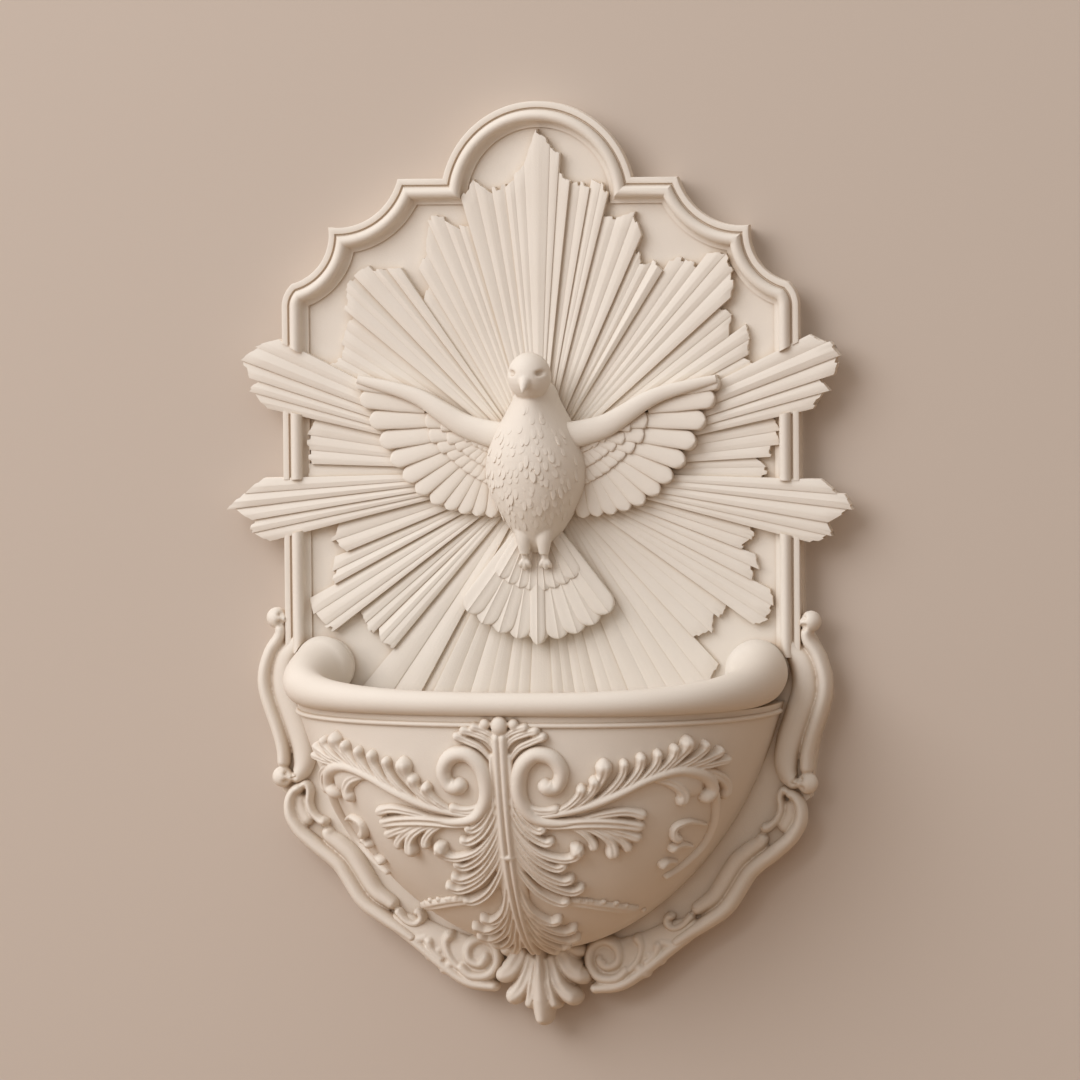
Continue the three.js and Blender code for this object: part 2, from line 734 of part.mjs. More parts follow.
// Height share, half width share and swell share of the body's level sections.
const BODY_SECTIONS = [
  [0, 0.34, 0.28],
  [0.08, 0.62, 0.5],
  [0.22, 0.87, 0.78],
  [0.4, 1, 0.95],
  [0.56, 0.98, 1],
  [0.71, 0.83, 0.96],
  [0.83, 0.62, 0.88],
  [0.93, 0.46, 0.8],
  [1, 0.38, 0.74],
];

function bodyLoft(grow) {
  return loft(BODY_SECTIONS.map(([share, width, swell], level) => {
    const end = level === 0 ? -grow : 0;
    const y = BODY_FOOT_Y + (BODY_TOP_Y - BODY_FOOT_Y) * share + end;
    const half = BODY_HALF_WIDTH * width + grow;
    const front = BODY_SWELL * swell + 2 * grow;
    return Array.from({ length: 11 }, (_, i) => {
      const angle = (Math.PI * i) / 10;
      return new THREE.Vector3(half * Math.cos(angle), y, DOVE_BACK - grow + front * Math.sin(angle));
    });
  }));
}

const headZ = DOVE_BACK + HEAD_OFF;
const headBall = new THREE.SphereGeometry(1, 14, 10)
  .scale(HEAD_HALF_WIDTH, HEAD_HALF_HEIGHT, HEAD_HALF_HEIGHT)
  .translate(0, HEAD_Y, headZ);
const beakCone = new THREE.ConeGeometry(BEAK_RADIUS, BEAK_LENGTH, 10)
  .rotateX(Math.PI * 0.62)
  .translate(0, HEAD_Y - HEAD_HALF_HEIGHT * 0.3, headZ + HEAD_HALF_HEIGHT + BEAK_LENGTH * 0.2);
add('dove_body', cut(unite([bodyLoft(0), headBall, beakCone]), doveScrewCutters), castIvory);

// Points of the right wing, in percent of its reach, from the dove's centre.
const onWing = ([x, y]) => [(WING_REACH * x) / 100, (WING_REACH * y) / 100];
const WING_LEADING = [
  [10, 17.5],
  [26.5, 22.5],
  [41, 28.5],
  [53.5, 39],
  [65.5, 46],
  [84, 49.5],
  [100, 51.5],
].map(onWing);
const WING_TIPS = [
  [96.5, 40],
  [92.5, 27.5],
  [88, 17.5],
  [82.5, 7.5],
  [75.5, -0.5],
  [67.5, -9],
  [58.5, -16.5],
  [48.5, -21],
  [39, -24],
  [28.5, -26],
  [18.5, -27],
].map(onWing);
const COVERT_TIPS = [
  [82, 34],
  [74, 23.5],
  [65.5, 14.5],
  [55.5, 6],
  [44, 0],
  [33, -4],
  [20.5, -6],
].map(onWing);
const WING_ROOT_Y = WING_TIPS.at(-1)[1] + FEATHER_NOTCH;
const COVERT_ROOT_Y = COVERT_TIPS.at(-1)[1] + FEATHER_NOTCH;

// Outline with a rounded feather end at each tip and a notch between neighbours.
function featheredShape(leading, tips, notch, rootY) {
  const shape = new THREE.Shape();
  shape.moveTo(...leading[0]);
  shape.splineThru(leading.slice(1).map(([x, y]) => point(x, y)));
  const heart = point(leading[0][0], leading[0][1]);
  const ends = tips.map(([x, y]) => point(x, y));
  let previous = point(...leading.at(-1));
  ends.forEach((end, i) => {
    const next = ends[i + 1] ?? point(leading[0][0], rootY);
    const outer = end.clone().sub(heart).normalize();
    const between = end.clone().add(next).multiplyScalar(0.5).addScaledVector(outer, -notch);
    const bulge = end.clone().addScaledVector(outer, notch);
    const near = previous.clone().lerp(bulge, 0.8);
    const far = between.clone().lerp(bulge, 0.8);
    shape.bezierCurveTo(near.x, near.y, far.x, far.y, between.x, between.y);
    previous = between;
  });
  shape.lineTo(leading[0][0], rootY);
  shape.closePath();
  return shape;
}

function slab(shape, back, thick, segments) {
  const options = { depth: thick, bevelEnabled: false, curveSegments: segments };
  return new THREE.ExtrudeGeometry(shape, options).translate(0, 0, back);
}

// Ridged bar along a path of (x, y) points on a surface of given depth.
function lobe(controls, halfWidths, high, surface, steps) {
  const path = splinePoints(controls, steps);
  const shift = mitres(path);
  return loft(path.map((p, i) => {
    const share = i / steps;
    const [start, middle, end] = halfWidths;
    const half = start * (1 - share) * (1 - share) + 2 * middle * share * (1 - share) + end * share * share;
    const swell = high * Math.min(1, half / halfWidths[1]);
    const spot = (side, lift) => {
      const q = p.clone().addScaledVector(shift[i], side * half);
      return new THREE.Vector3(q.x, q.y, surface(q.x, q.y) + lift * swell);
    };
    return [spot(1, 0), spot(0, 1), spot(-1, 0), spot(0, 0)];
  }));
}

const wingBack = () => DOVE_BACK;
const wingArm = lobe(WING_LEADING.slice(1).map(([x, y]) => [x, y - ARM_RADIUS * 0.6]),
  [ARM_RADIUS * 1.5, ARM_RADIUS, ARM_RADIUS * 0.4], WING_THICK + COVERT_THICK + ARM_RADIUS, wingBack, 8);
const wing = unite([
  slab(featheredShape(WING_LEADING, WING_TIPS, FEATHER_NOTCH, WING_ROOT_Y), DOVE_BACK, WING_THICK, 3),
  slab(featheredShape(WING_LEADING.slice(0, -1), COVERT_TIPS, FEATHER_NOTCH, COVERT_ROOT_Y),
    DOVE_BACK + WING_THICK - WELD, COVERT_THICK + WELD, 3),
  wingArm,
]);
addPair('wing', cut(wing, [bodyLoft(GAP)]), castIvory);

function tailShape(radius, root) {
  const shape = new THREE.Shape();
  const span = (2 * TAIL_SPREAD) / TAIL_FEATHERS;
  const at = (angle, reach) => point(
    reach * Math.sin(angle * DEG),
    TAIL_CENTRE_Y - reach * Math.cos(angle * DEG),
  );
  shape.moveTo(-root, TAIL_CENTRE_Y);
  for (let i = 0; i <= TAIL_FEATHERS; i += 1) {
    const angle = -TAIL_SPREAD + span * i;
    const end = at(angle, radius - FEATHER_NOTCH);
    if (i === 0) {
      shape.lineTo(end.x, end.y);
    } else {
      const near = at(angle - span, radius + FEATHER_NOTCH);
      const far = at(angle, radius + FEATHER_NOTCH);
      shape.bezierCurveTo(near.x, near.y, far.x, far.y, end.x, end.y);
    }
  }
  shape.lineTo(root, TAIL_CENTRE_Y);
  shape.closePath();
  return shape;
}

const tailFan = unite([
  slab(tailShape(TAIL_RADIUS, BODY_HALF_WIDTH * 0.34), DOVE_BACK, TAIL_THICK * 0.7, 3),
  slab(tailShape(TAIL_RADIUS * 0.62, BODY_HALF_WIDTH * 0.3), DOVE_BACK + TAIL_THICK * 0.7 - WELD,
    TAIL_THICK * 0.3 + WELD, 3),
]);
add('tail', cut(tailFan, [bodyLoft(GAP)]), castIvory);

const footHalf = FOOT_LENGTH / 4;
const foot = new THREE.SphereGeometry(1, 8, 6)
  .scale(FOOT_X * 0.7, FOOT_LENGTH / 2, footHalf)
  .translate(FOOT_X, FOOT_Y, TAIL_FRONT + GAP + footHalf);
addPair('foot', cut(foot, [bodyLoft(GAP)]), castIvory);

// Basin

const PLAN_STEPS = 22;

function planRing(y, halfWidth, back, reach, power) {
  return Array.from({ length: PLAN_STEPS + 1 }, (_, i) => {
    const angle = (Math.PI * i) / PLAN_STEPS;
    const side = Math.sign(Math.cos(angle)) * Math.abs(Math.cos(angle)) ** (2 / power);
    const out = Math.abs(Math.sin(angle)) ** (2 / power);
    return new THREE.Vector3(halfWidth * side, y, back + reach * (i % PLAN_STEPS === 0 ? 0 : out));
  });
}

const BOWL_LEVELS = [0, 0.15, 0.3, 0.45, 0.59, 0.72, 0.83, 0.92, 0.97, 0.995];
const bowlBody = loft(BOWL_LEVELS.map((share) => {
  const y = bowlY(share);
  return planRing(y, bowlHalfWidth(y), FIELD, bowlReach(y), BOWL_SQUARENESS);
}));

// Plan of the liner grown sideways, backwards and forwards by one amount.
function linerRing(y, taper, grow) {
  const middle = (LINER_BACK + LINER_FRONT) / 2;
  const half = ((LINER_FRONT - LINER_BACK) / 2) * taper + grow;
  return planRing(y, LINER_HALF_WIDTH * taper + grow, middle - half, 2 * half, LINER_SQUARENESS);
}

const well = loft([
  linerRing(LINER_BOTTOM_Y - WELL_CLEAR, LINER_TAPER, WELL_CLEAR),
  linerRing(LINER_TOP_Y, 1, WELL_CLEAR),
]);
const basinScrewCutters = basinScrewSpots.map(([x, y]) => screw(BASIN_SCREW, GAP, 1).translate(x, y, GAP));
add('basin_bowl', cut(bowlBody, [well, ...basinScrewCutters]), castIvory);

const RIM_STEPS = 26;
const RIM_SIDES = 10;
const rimEndZ = FIELD + RIM_END_RADIUS * 0.8;

// Radius of the rolled rim at a share of the way round, from 0 at the wall to 1 at the front.
const rimRadius = (front) => RIM_END_RADIUS + (RIM_RADIUS - RIM_END_RADIUS) * Math.min(1, front ** 0.55);

function rimRing(angle) {
  const front = Math.max(Math.sin(angle), 0);
  const radius = rimRadius(front);
  const power = 2 / BOWL_SQUARENESS;
  const side = Math.sign(Math.cos(angle)) * Math.abs(Math.cos(angle)) ** power;
  const out = front ** power;
  const centre = new THREE.Vector3(
    (BOWL_HALF_WIDTH + RIM_OVERHANG - radius) * side,
    RIM_BASE + radius * 0.96,
    rimEndZ + (BOWL_FRONT - rimEndZ) * out,
  );
  return { centre, radius };
}

function tubeRings(stations, sides, floor) {
  return stations.map(({ centre, radius }, i) => {
    const before = stations[Math.max(i - 1, 0)].centre;
    const after = stations[Math.min(i + 1, stations.length - 1)].centre;
    const way = after.clone().sub(before).setY(0).normalize();
    const across = new THREE.Vector3(way.z, 0, -way.x);
    return Array.from({ length: sides }, (_, k) => {
      const angle = (2 * Math.PI * k) / sides;
      const p = centre.clone().addScaledVector(across, radius * Math.cos(angle));
      p.y = Math.max(centre.y + radius * Math.sin(angle), floor);
      return p;
    });
  });
}

// Half-round end of the rim, between the wall and its first full ring.
function rimEnd(side) {
  const { centre, radius } = rimRing(0);
  return [0, 0.45, 0.8].map((share) => {
    const z = FIELD + GAP + (rimEndZ - FIELD - GAP) * share;
    const reach = Math.sqrt(Math.max(radius ** 2 - (rimEndZ - z) ** 2, 0));
    return { centre: new THREE.Vector3(side * centre.x, centre.y, z), radius: reach };
  });
}

const rimStations = [
  ...rimEnd(1),
  ...Array.from({ length: RIM_STEPS + 1 }, (_, i) => rimRing((Math.PI * i) / RIM_STEPS)),
  ...rimEnd(-1).reverse(),
];
add('basin_rim', loft(tubeRings(rimStations, RIM_SIDES, RIM_BASE)), castIvory);

const beadY = BOWL_TOP_Y - BEAD_DROP;
const beadOut = BEAD_RADIUS + GAP;
const beadStations = planRing(
  beadY,
  bowlHalfWidth(beadY) + beadOut,
  FIELD + BEAD_RADIUS,
  bowlReach(beadY) + beadOut - BEAD_RADIUS,
  BOWL_SQUARENESS,
).map((centre) => ({ centre, radius: BEAD_RADIUS }));
add('rim_bead', loft(tubeRings(beadStations, 5, -Infinity)), castIvory);

// Water liner: a cup with a flat lip that hangs on the edge of the well.
const linerOuter = unite([
  loft([linerRing(LINER_BOTTOM_Y, LINER_TAPER, 0), linerRing(LINER_TOP_Y - WELD, 1, 0)]),
  loft([linerRing(RIM_BASE, 1, LIP_WIDE), linerRing(LINER_TOP_Y, 1, LIP_WIDE)]),
]);
const linerHollow = loft([
  linerRing(LINER_BOTTOM_Y + LINER_WALL, LINER_TAPER, -LINER_WALL),
  linerRing(LINER_TOP_Y + 1, 1, -LINER_WALL),
]);
add('water_liner', cut(linerOuter, [linerHollow]), linerIvory);

// Acanthus carving, drawn on the right-hand half of the bowl. Each group of forms can be grown
// by a gap, to trim the groups that run up against it.

// Points on the bowl are given in percent: across its half width, and down its height.
const onBowl = ([across, down]) => [(BOWL_HALF_WIDTH * across) / 100, bowlY(down / 100)];

// Underside of the carving: off the bowl's face, more so where the face turns away.
function carvedOn(x, y) {
  const acrossSlope = (bowlFace(x + 1, y) - bowlFace(x - 1, y)) / 2;
  const downSlope = (bowlFace(x, y + 1) - bowlFace(x, y - 1)) / 2;
  return bowlFace(x, y) + CARVING_GAP * Math.hypot(1, acrossSlope, downSlope);
}

const bar = (controls, widths, high, steps) => (grow) => lobe(
  controls,
  widths.map((width) => width + grow),
  high + grow,
  carvedOn,
  steps,
);
const petal = (spots, size = 1) => bar(
  spots.map(onBowl),
  [LOBE_HALF_WIDTH * 0.5 * size, LOBE_HALF_WIDTH * 1.3 * size, LOBE_HALF_WIDTH * 0.7 * size],
  LEAF_HIGH * 0.8,
  4,
);

// Spiral about a centre: starts at an angle in degrees on its outer radius and winds inwards.
function spiral([x, y], start, turns, outer, inner, steps) {
  return Array.from({ length: steps + 1 }, (_, i) => {
    const share = i / steps;
    const angle = (start + 360 * turns * share) * DEG;
    const radius = outer + (inner - outer) * share;
    return [x + radius * Math.cos(angle), y + radius * Math.sin(angle)];
  });
}

const grown = (forms, grow) => forms.map((form) => form(grow));
const bothHalves = (parts) => [...parts, ...parts.map(mirrored)];

// Joins forms into one carving, trimmed to the carvings beside it.
const carving = (forms, neighbours) => cut(unite(grown(forms, 0)), neighbours);

const stemTop = BOWL_TOP_Y - BEAD_DROP - 2 * BEAD_RADIUS - GAP;
const stemFoot = bowlY(0.94);
const stem = bar(
  [[0, stemTop], [0, (stemTop + stemFoot) / 2], [0, stemFoot]],
  [STEM_HALF_WIDTH * 1.5, STEM_HALF_WIDTH * 0.6, STEM_HALF_WIDTH * 1.2],
  LEAF_HIGH * 1.2,
  14,
);
const palmForms = [
  petal([[1, 11.5], [5.5, 8.5], [10, 7.5]]),
  petal([[1, 16.5], [6, 11], [15, 8.5]], 0.8),
  petal([[1, 45], [10.5, 49], [19, 48.5]]),
  petal([[1, 47.5], [13, 54], [26, 52.5]], 1.2),
  petal([[1, 51], [13, 60], [28, 59.5]], 1.2),
  petal([[1, 55], [11.5, 64], [26, 66.5]], 1.2),
  petal([[1, 64], [7, 70.5], [18, 72]]),
  petal([[1, 69], [9, 76.5], [22.5, 78]], 1.2),
  petal([[1, 72.5], [7.5, 83.5], [19, 86.5]], 1.3),
  petal([[1, 76], [4.5, 87.5], [10, 91.5]], 1.3),
];
const palmParts = (grow) => [stem(grow), ...bothHalves(grown(palmForms, grow))];
add('acanthus_palm', unite(palmParts(0)), castIvory);

const voluteForms = [
  bar(
    [
      ...[[7.5, 38.5], [5.5, 31.5]].map(onBowl),
      ...spiral(onBowl([15, 21]), 192, -1.15, CURL_RADIUS, CURL_EYE, 12),
    ],
    [LOBE_HALF_WIDTH * 0.8, LOBE_HALF_WIDTH * 0.85, LOBE_HALF_WIDTH * 0.7],
    LEAF_HIGH,
    22,
  ),
  petal([[6, 36.5], [13.5, 37.5], [23.5, 34.5]], 1.1),
  petal([[16.5, 38.5], [24, 33.5], [26.5, 26]]),
  petal([[19.5, 38.5], [29.5, 33], [33.5, 23.5]]),
];
addPair('acanthus_volute', carving(voluteForms, palmParts(GAP)), castIvory);

const branchForms = [
  bar(
    [[27.5, 37.5], [39.5, 31.5], [53, 22.5], [66.5, 19.5], [77.5, 26], [75, 33.5]].map(onBowl),
    [LOBE_HALF_WIDTH * 0.6, LOBE_HALF_WIDTH * 1.1, LOBE_HALF_WIDTH * 0.8],
    LEAF_HIGH,
    11,
  ),
  bar(
    [[76.5, 26.5], [77.5, 40.5], [73.5, 51.5], [65, 61]].map(onBowl),
    [LOBE_HALF_WIDTH * 0.5, LOBE_HALF_WIDTH * 0.8, LOBE_HALF_WIDTH * 0.5],
    LEAF_HIGH * 0.7,
    5,
  ),
  petal([[36.5, 33.5], [41, 23.5], [40, 14]]),
  petal([[41.5, 30.5], [47.5, 22], [48.5, 14]]),
  petal([[47, 27.5], [54.5, 19], [56, 11.5]]),
  petal([[53, 23.5], [61.5, 16.5], [64.5, 10]]),
  petal([[60, 21], [69, 15], [72.5, 9.5]]),
  petal([[65, 20.5], [75, 16.5], [79.5, 12.5]]),
  petal([[76, 48.5], [69.5, 49], [66.5, 44.5]]),
  petal([[71, 54.5], [63.5, 57], [60.5, 51.5]]),
];
addPair('acanthus_branch', carving(branchForms, grown(voluteForms, GAP)), castIvory);

const leafForms = [
  bar(
    [[6, 41.5], [22.5, 41.5], [39.5, 43], [53, 48.5]].map(onBowl),
    [LOBE_HALF_WIDTH * 0.6, LOBE_HALF_WIDTH * 1.2, LOBE_HALF_WIDTH],
    LEAF_HIGH,
    7,
  ),
  petal([[33.5, 42], [44, 40], [54.5, 42]]),
  petal([[33.5, 42], [41, 49], [41.5, 58.5]]),
];
const leafNeighbours = [...palmParts(GAP), ...grown([...voluteForms, ...branchForms], GAP)];
addPair('acanthus_leaf', carving(leafForms, leafNeighbours), castIvory);

// Scroll mouldings beside and below the bowl

function scrollProfile(wide) {
  const bead = (from, to) => Array.from({ length: 4 }, (_, i) => {
    const angle = Math.PI * (1 - i / 3);
    return [
      (from + to) / 2 + ((to - from) / 2) * Math.cos(angle),
      FIELD + SCROLL_GROOVE + (SCROLL_HIGH - SCROLL_GROOVE) * Math.sin(angle),
    ];
  });
  const split = wide * 0.54;
  return [[0, FIELD], ...bead(0, split), ...bead(split + GROOVE_WIDE, wide), [wide, FIELD]];
}

function scroll(path, wide) {
  const first = path[0];
  const last = path.at(-1);
  const high = FIELD + SCROLL_HIGH - KNOB_RADIUS;
  return unite([
    sweep(path, mitres(path), scrollProfile(wide)),
    knob(KNOB_RADIUS, first.x - KNOB_RADIUS * 0.2, first.y - KNOB_RADIUS, high),
    knob(KNOB_RADIUS, last.x - KNOB_RADIUS * 0.6, last.y + KNOB_RADIUS, high),
  ]);
}

addPair('upper_scroll', scroll(upperScrollPath, SCROLL_WIDE), castIvory);
addPair('lower_scroll', scroll(lowerScrollPath, LOWER_SCROLL_WIDE), castIvory);

const onPlate = () => FIELD;
const voluteLead = lowerScrollPath.at(-1);
const volutePath = [
  [voluteLead.x - LOWER_SCROLL_WIDE, voluteLead.y - KNOB_RADIUS],
  [(voluteLead.x + VOLUTE_X) / 2, voluteY - VOLUTE_RADIUS * 0.8],
  ...spiral([VOLUTE_X, voluteY], -95, -1.2, VOLUTE_RADIUS, VOLUTE_EYE, 12),
];
addPair('lower_volute', lobe(
  volutePath,
  [VOLUTE_BAND / 2, VOLUTE_BAND / 2, VOLUTE_BAND / 3],
  VOLUTE_HIGH,
  onPlate,
  24,
), castIvory);

// Pendant: a leaf of long lobes that fan out below the bowl.
const pendantFan = [
  [0, 1, 1],
  [0.42, 0.9, 0.9],
  [0.82, 0.7, 0.75],
  [1, 0.42, 0.6],
];
const pendantLobes = pendantFan.map(([side, drop, high]) => lobe(
  [
    [PENDANT_HALF_WIDTH * side * 0.15, pendantTopY],
    [PENDANT_HALF_WIDTH * side * 0.7, pendantTopY - PENDANT_LENGTH * drop * 0.5],
    [PENDANT_HALF_WIDTH * side * 0.85, pendantTopY - PENDANT_LENGTH * drop],
  ],
  [PENDANT_HALF_WIDTH * 0.22, PENDANT_HALF_WIDTH * 0.38, PENDANT_HALF_WIDTH * 0.12],
  PENDANT_HIGH * high,
  onPlate,
  5,
));
add('pendant_leaf', unite([...pendantLobes, ...pendantLobes.slice(1).map(mirrored)]), castIvory);

// Fixings

function hangerPlate() {
  const shape = new THREE.Shape(rectanglePoints(HANGER_WIDE, HANGER_TALL));
  const key = keyholePoints(KEYHOLE_RADIUS, KEYHOLE_SLOT).map((p) => point(p.x, p.y + KEYHOLE_Y));
  shape.holes.push(new THREE.Path(key));
  const plate = slab(shape, HANGER_SUNK, HANGER_THICK, 8);
  const holes = [1, -1].map((side) => screw(HANGER_SCREW, GAP, 1)
    .translate(0, (side * HANGER_SCREW_SPACING) / 2, HANGER_SUNK));
  return cut(plate, holes);
}

hangerSpots.forEach((x, i) => {
  add(`hanger_plate_${i + 1}`, hangerPlate().translate(x, HANGER_Y, 0), zincSteel);
});
hangerScrewSpots.forEach(([x, y], i) => {
  add(`hanger_screw_${i + 1}`, screw(HANGER_SCREW, 0, 0).translate(x, y, HANGER_SUNK), zincSteel);
});
basinScrewSpots.forEach(([x, y], i) => {
  add(`basin_screw_${i + 1}`, screw(BASIN_SCREW, 0, 0).translate(x, y, GAP), zincSteel);
});
doveScrewSpots.forEach(([x, y], i) => {
  add(`dove_screw_${i + 1}`, screw(DOVE_SCREW, 0, 0).translate(x, y, GAP), zincSteel);
});

export default stoup;
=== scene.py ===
import math
import random

import bpy
import numpy as np
from mathutils import Matrix, Vector


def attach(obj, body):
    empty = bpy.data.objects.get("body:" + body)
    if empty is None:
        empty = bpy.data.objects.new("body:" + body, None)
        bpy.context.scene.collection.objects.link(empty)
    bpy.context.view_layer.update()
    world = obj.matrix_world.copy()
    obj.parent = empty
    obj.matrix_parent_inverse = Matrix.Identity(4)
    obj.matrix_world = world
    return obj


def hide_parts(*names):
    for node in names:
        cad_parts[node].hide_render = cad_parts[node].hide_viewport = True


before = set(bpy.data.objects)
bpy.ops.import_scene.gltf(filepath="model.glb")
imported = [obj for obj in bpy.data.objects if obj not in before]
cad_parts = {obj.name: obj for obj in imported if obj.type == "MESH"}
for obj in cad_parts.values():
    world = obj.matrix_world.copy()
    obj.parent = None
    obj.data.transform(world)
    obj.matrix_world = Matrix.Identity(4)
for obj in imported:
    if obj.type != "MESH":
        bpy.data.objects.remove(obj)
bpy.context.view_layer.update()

# Back plate: one flat slab of cast ivory plaster that every other casting is bedded on. Its edge and
# its field show between rays and border; its back has sunk beds for the hangers and screw holes.


def linear(colour):
    """sRGB hex colour as linear RGBA."""
    shares = [int(colour[i:i + 2], 16) / 255 for i in (0, 2, 4)]
    return (*[s / 12.92 if s <= 0.04045 else ((s + 0.055) / 1.055) ** 2.4 for s in shares], 1.0)


def connect(tree, made, inputs):
    """Sets a node's inputs, or links them to what other nodes give."""
    for name, value in inputs.items():
        if isinstance(value, bpy.types.NodeSocket):
            tree.links.new(value, made.inputs[name])
        else:
            made.inputs[name].default_value = value


def node(tree, kind, inputs=None, **settings):
    """Adds a node with its settings and links, and gives its outputs."""
    made = tree.nodes.new(kind)
    for name, value in settings.items():
        setattr(made, name, value)
    connect(tree, made, inputs or {})
    return made.outputs


def new_finish(name):
    """A new material, its tree and its shader."""
    material = bpy.data.materials.new(name)
    material.use_nodes = True
    return material, material.node_tree, material.node_tree.nodes["Principled BSDF"]


def cast_plaster(name, painted_shade_colour, combed=False):
    """Cast plaster, sealed and toned ivory: dead matte, faintly cloudy, with the sandy grain of the
    mould, and painted shade: a warm, darker colour painted into the hollows that ambient occlusion finds,
    with the open faces paler. Combed plaster also has the tool's streaks running out from the centre of the
    glory."""
    cloud_mm, hollow_mm, streak_degrees = 34, 7, 0.5
    grain_mm = 0.9  # drawn coarser than real plaster sand, so that it shows
    material, tree, shader = new_finish(name)
    place = node(tree, "ShaderNodeTexCoord")["Object"]
    cloud = node(tree, "ShaderNodeTexNoise", {
        "Vector": place, "Scale": 1000 / cloud_mm, "Detail": 5.0})["Fac"]
    tone = node(tree, "ShaderNodeMixRGB", {
        "Fac": cloud, "Color1": linear("dfd6ca"), "Color2": linear("e8e1d7")})["Color"]
    # Painted shade: where ambient occlusion finds a hollow, the colour shifts to the darker, warm shade
    # colour.
    unoccluded = node(tree, "ShaderNodeAmbientOcclusion", {"Distance": hollow_mm / 1000}, samples=6)["AO"]
    unshaded_share = node(tree, "ShaderNodeMapRange", {"Value": unoccluded, "From Min": 0.15, "From Max": 0.8})["Result"]
    colour = node(tree, "ShaderNodeMixRGB", {"Fac": unshaded_share, "Color1": linear(painted_shade_colour), "Color2": tone})["Color"]
    relief = node(tree, "ShaderNodeTexNoise", {
        "Vector": place, "Scale": 1000 / grain_mm, "Detail": 3.0})["Fac"]
    if combed:
        axes = node(tree, "ShaderNodeSeparateXYZ", {"Vector": place})
        angle = node(tree, "ShaderNodeMath", {0: axes["Z"], 1: axes["X"]}, operation="ARCTAN2")["Value"]
        fan = node(tree, "ShaderNodeCombineXYZ", {"X": angle, "Y": axes["Y"]})["Vector"]
        comb = node(tree, "ShaderNodeTexNoise", {
            "Vector": fan, "Scale": 180 / math.pi / streak_degrees, "Detail": 2.0})["Fac"]
        relief = node(tree, "ShaderNodeMath", {0: relief, 1: comb})["Value"]
    bump = node(tree, "ShaderNodeBump", {"Strength": 0.22, "Distance": 0.0004, "Height": relief})["Normal"]
    sheen = node(tree, "ShaderNodeMapRange", {"Value": cloud, "To Min": 0.66, "To Max": 0.82})["Result"]
    connect(tree, shader, {
        "Base Color": colour, "Normal": bump, "Roughness": sheen, "IOR": 1.5, "Specular IOR Level": 0.35})
    return material


# c6b29b is the painted shade colour in the plaster's hollows.
plaster = cast_plaster("cast_ivory_plaster", "c6b29b")


def refinish(name, material):
    """Gives a CAD node that stays as it is its own finish."""
    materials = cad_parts[name].data.materials
    materials.clear()
    materials.append(material)


refinish("back_plate", plaster)

# Border moulding: a cast run of fillet, groove, torus and cove round the scalloped upper edge,
# mitred at the cusps and planted on the plate. The long rays of the glory cross it, so it is
# made as the crown, two shoulders and four lengths of straight stile.
# Castings are drawn in millimetres on the wall, x right, y up and z out, then put in the row's metres.
WALL_TO_ROW = Matrix(((0.001, 0, 0, 0), (0, 0, -0.001, 0), (0, 0.001, 0, 0), (0, 0, 0, 1)))
FIELD = 10.3  # how far off the wall the castings on the plate start
BEDDED = 0.8  # how far a casting's foot is let into what carries it
CROWN_CENTRE, CROWN_RADIUS = 140.4j, 51.3  # places on the edge are complex numbers, x + yj
STEP_CORNER, CUSP, SHOULDER = 74 + 152j, 111.5 + 127j, 131.4 + 97.7j
UPPER_DIP, LOWER_DIP = 8.5, 6.8  # depth of the two scallops
SHOULDER_RADIUS, STILE_X, STILE_TOP, STILE_FOOT = 16, 137, 85.5, -96
UPPER_ARM, LOWER_ARM = (26.3, 12.6), (-1.6, -14.4)  # degrees between which the long rays lie
ARM_TUCK = 1.0  # how far the border runs on under the long rays


def skin(rings):
    """Closed shell through a row of rings with the same number of points, facing outwards."""
    rings = np.asarray(rings, float)
    rows, count = rings.shape[:2]
    points = rings.reshape(-1, 3)
    first = np.arange(count)
    after = np.roll(first, -1)
    quads = np.vstack([
        np.column_stack([first, after, after + count, first + count]) + r * count for r in range(rows - 1)])
    faces = [tuple(q) for q in quads.tolist()]
    faces.append(tuple(range(count))[::-1])
    faces.append(tuple(range((rows - 1) * count, rows * count)))
    spread = points - points.mean(0)
    a, b, c, d = (spread[quads[:, k]] for k in range(4))
    volume = np.sum(a * np.cross(b, c)) + np.sum(a * np.cross(c, d))
    for cap in faces[-2:]:
        fan = spread[list(cap)]
        volume += np.sum(np.cross(fan[1:-1], fan[2:]) @ fan[0])
    return (points, faces) if volume > 0 else (points, [face[::-1] for face in faces])


def mirrored(shell):
    points, faces = shell
    return points * (-1, 1, 1), [face[::-1] for face in faces]


def both_sides(name, shells):
    """(node, shells) of a right-hand casting and of its mirror image."""
    return [(f"{name}_right", shells), (f"{name}_left", [mirrored(shell) for shell in shells])]


def add(name, data):
    """Puts a mesh, a lamp or a camera into the scene."""
    obj = bpy.data.objects.new(name, data)
    bpy.context.scene.collection.objects.link(obj)
    return obj


def add_mesh(name, points, edges=(), faces=()):
    mesh = bpy.data.meshes.new(name)
    mesh.from_pydata(points, edges, faces)
    return add(name, mesh)


def shape(name, shells):
    """One object of closed shells, still in wall millimetres."""
    faces = []
    start = 0
    for points, sides in shells:
        faces += [tuple(start + i for i in side) for side in sides]
        start += len(points)
    return add_mesh(name, np.vstack([points for points, _ in shells]).tolist(), (), faces)


def settle(obj, material, nodes, crease=35, body="stoup"):
    """Puts a finished shape in the row frame, with its finish, in place of its CAD nodes."""
    mesh = obj.data
    mesh.transform(WALL_TO_ROW)
    mesh.materials.clear()
    mesh.materials.append(material)
    mesh.shade_smooth()
    mesh.set_sharp_from_angle(angle=math.radians(crease))
    if nodes:
        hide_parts(*nodes)
    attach(obj, body)


def cast(part, shells, crease=35):
    """Plaster casting that takes the place of one CAD node."""
    settle(shape(f"{part}_cast", shells), plaster, [part], crease)


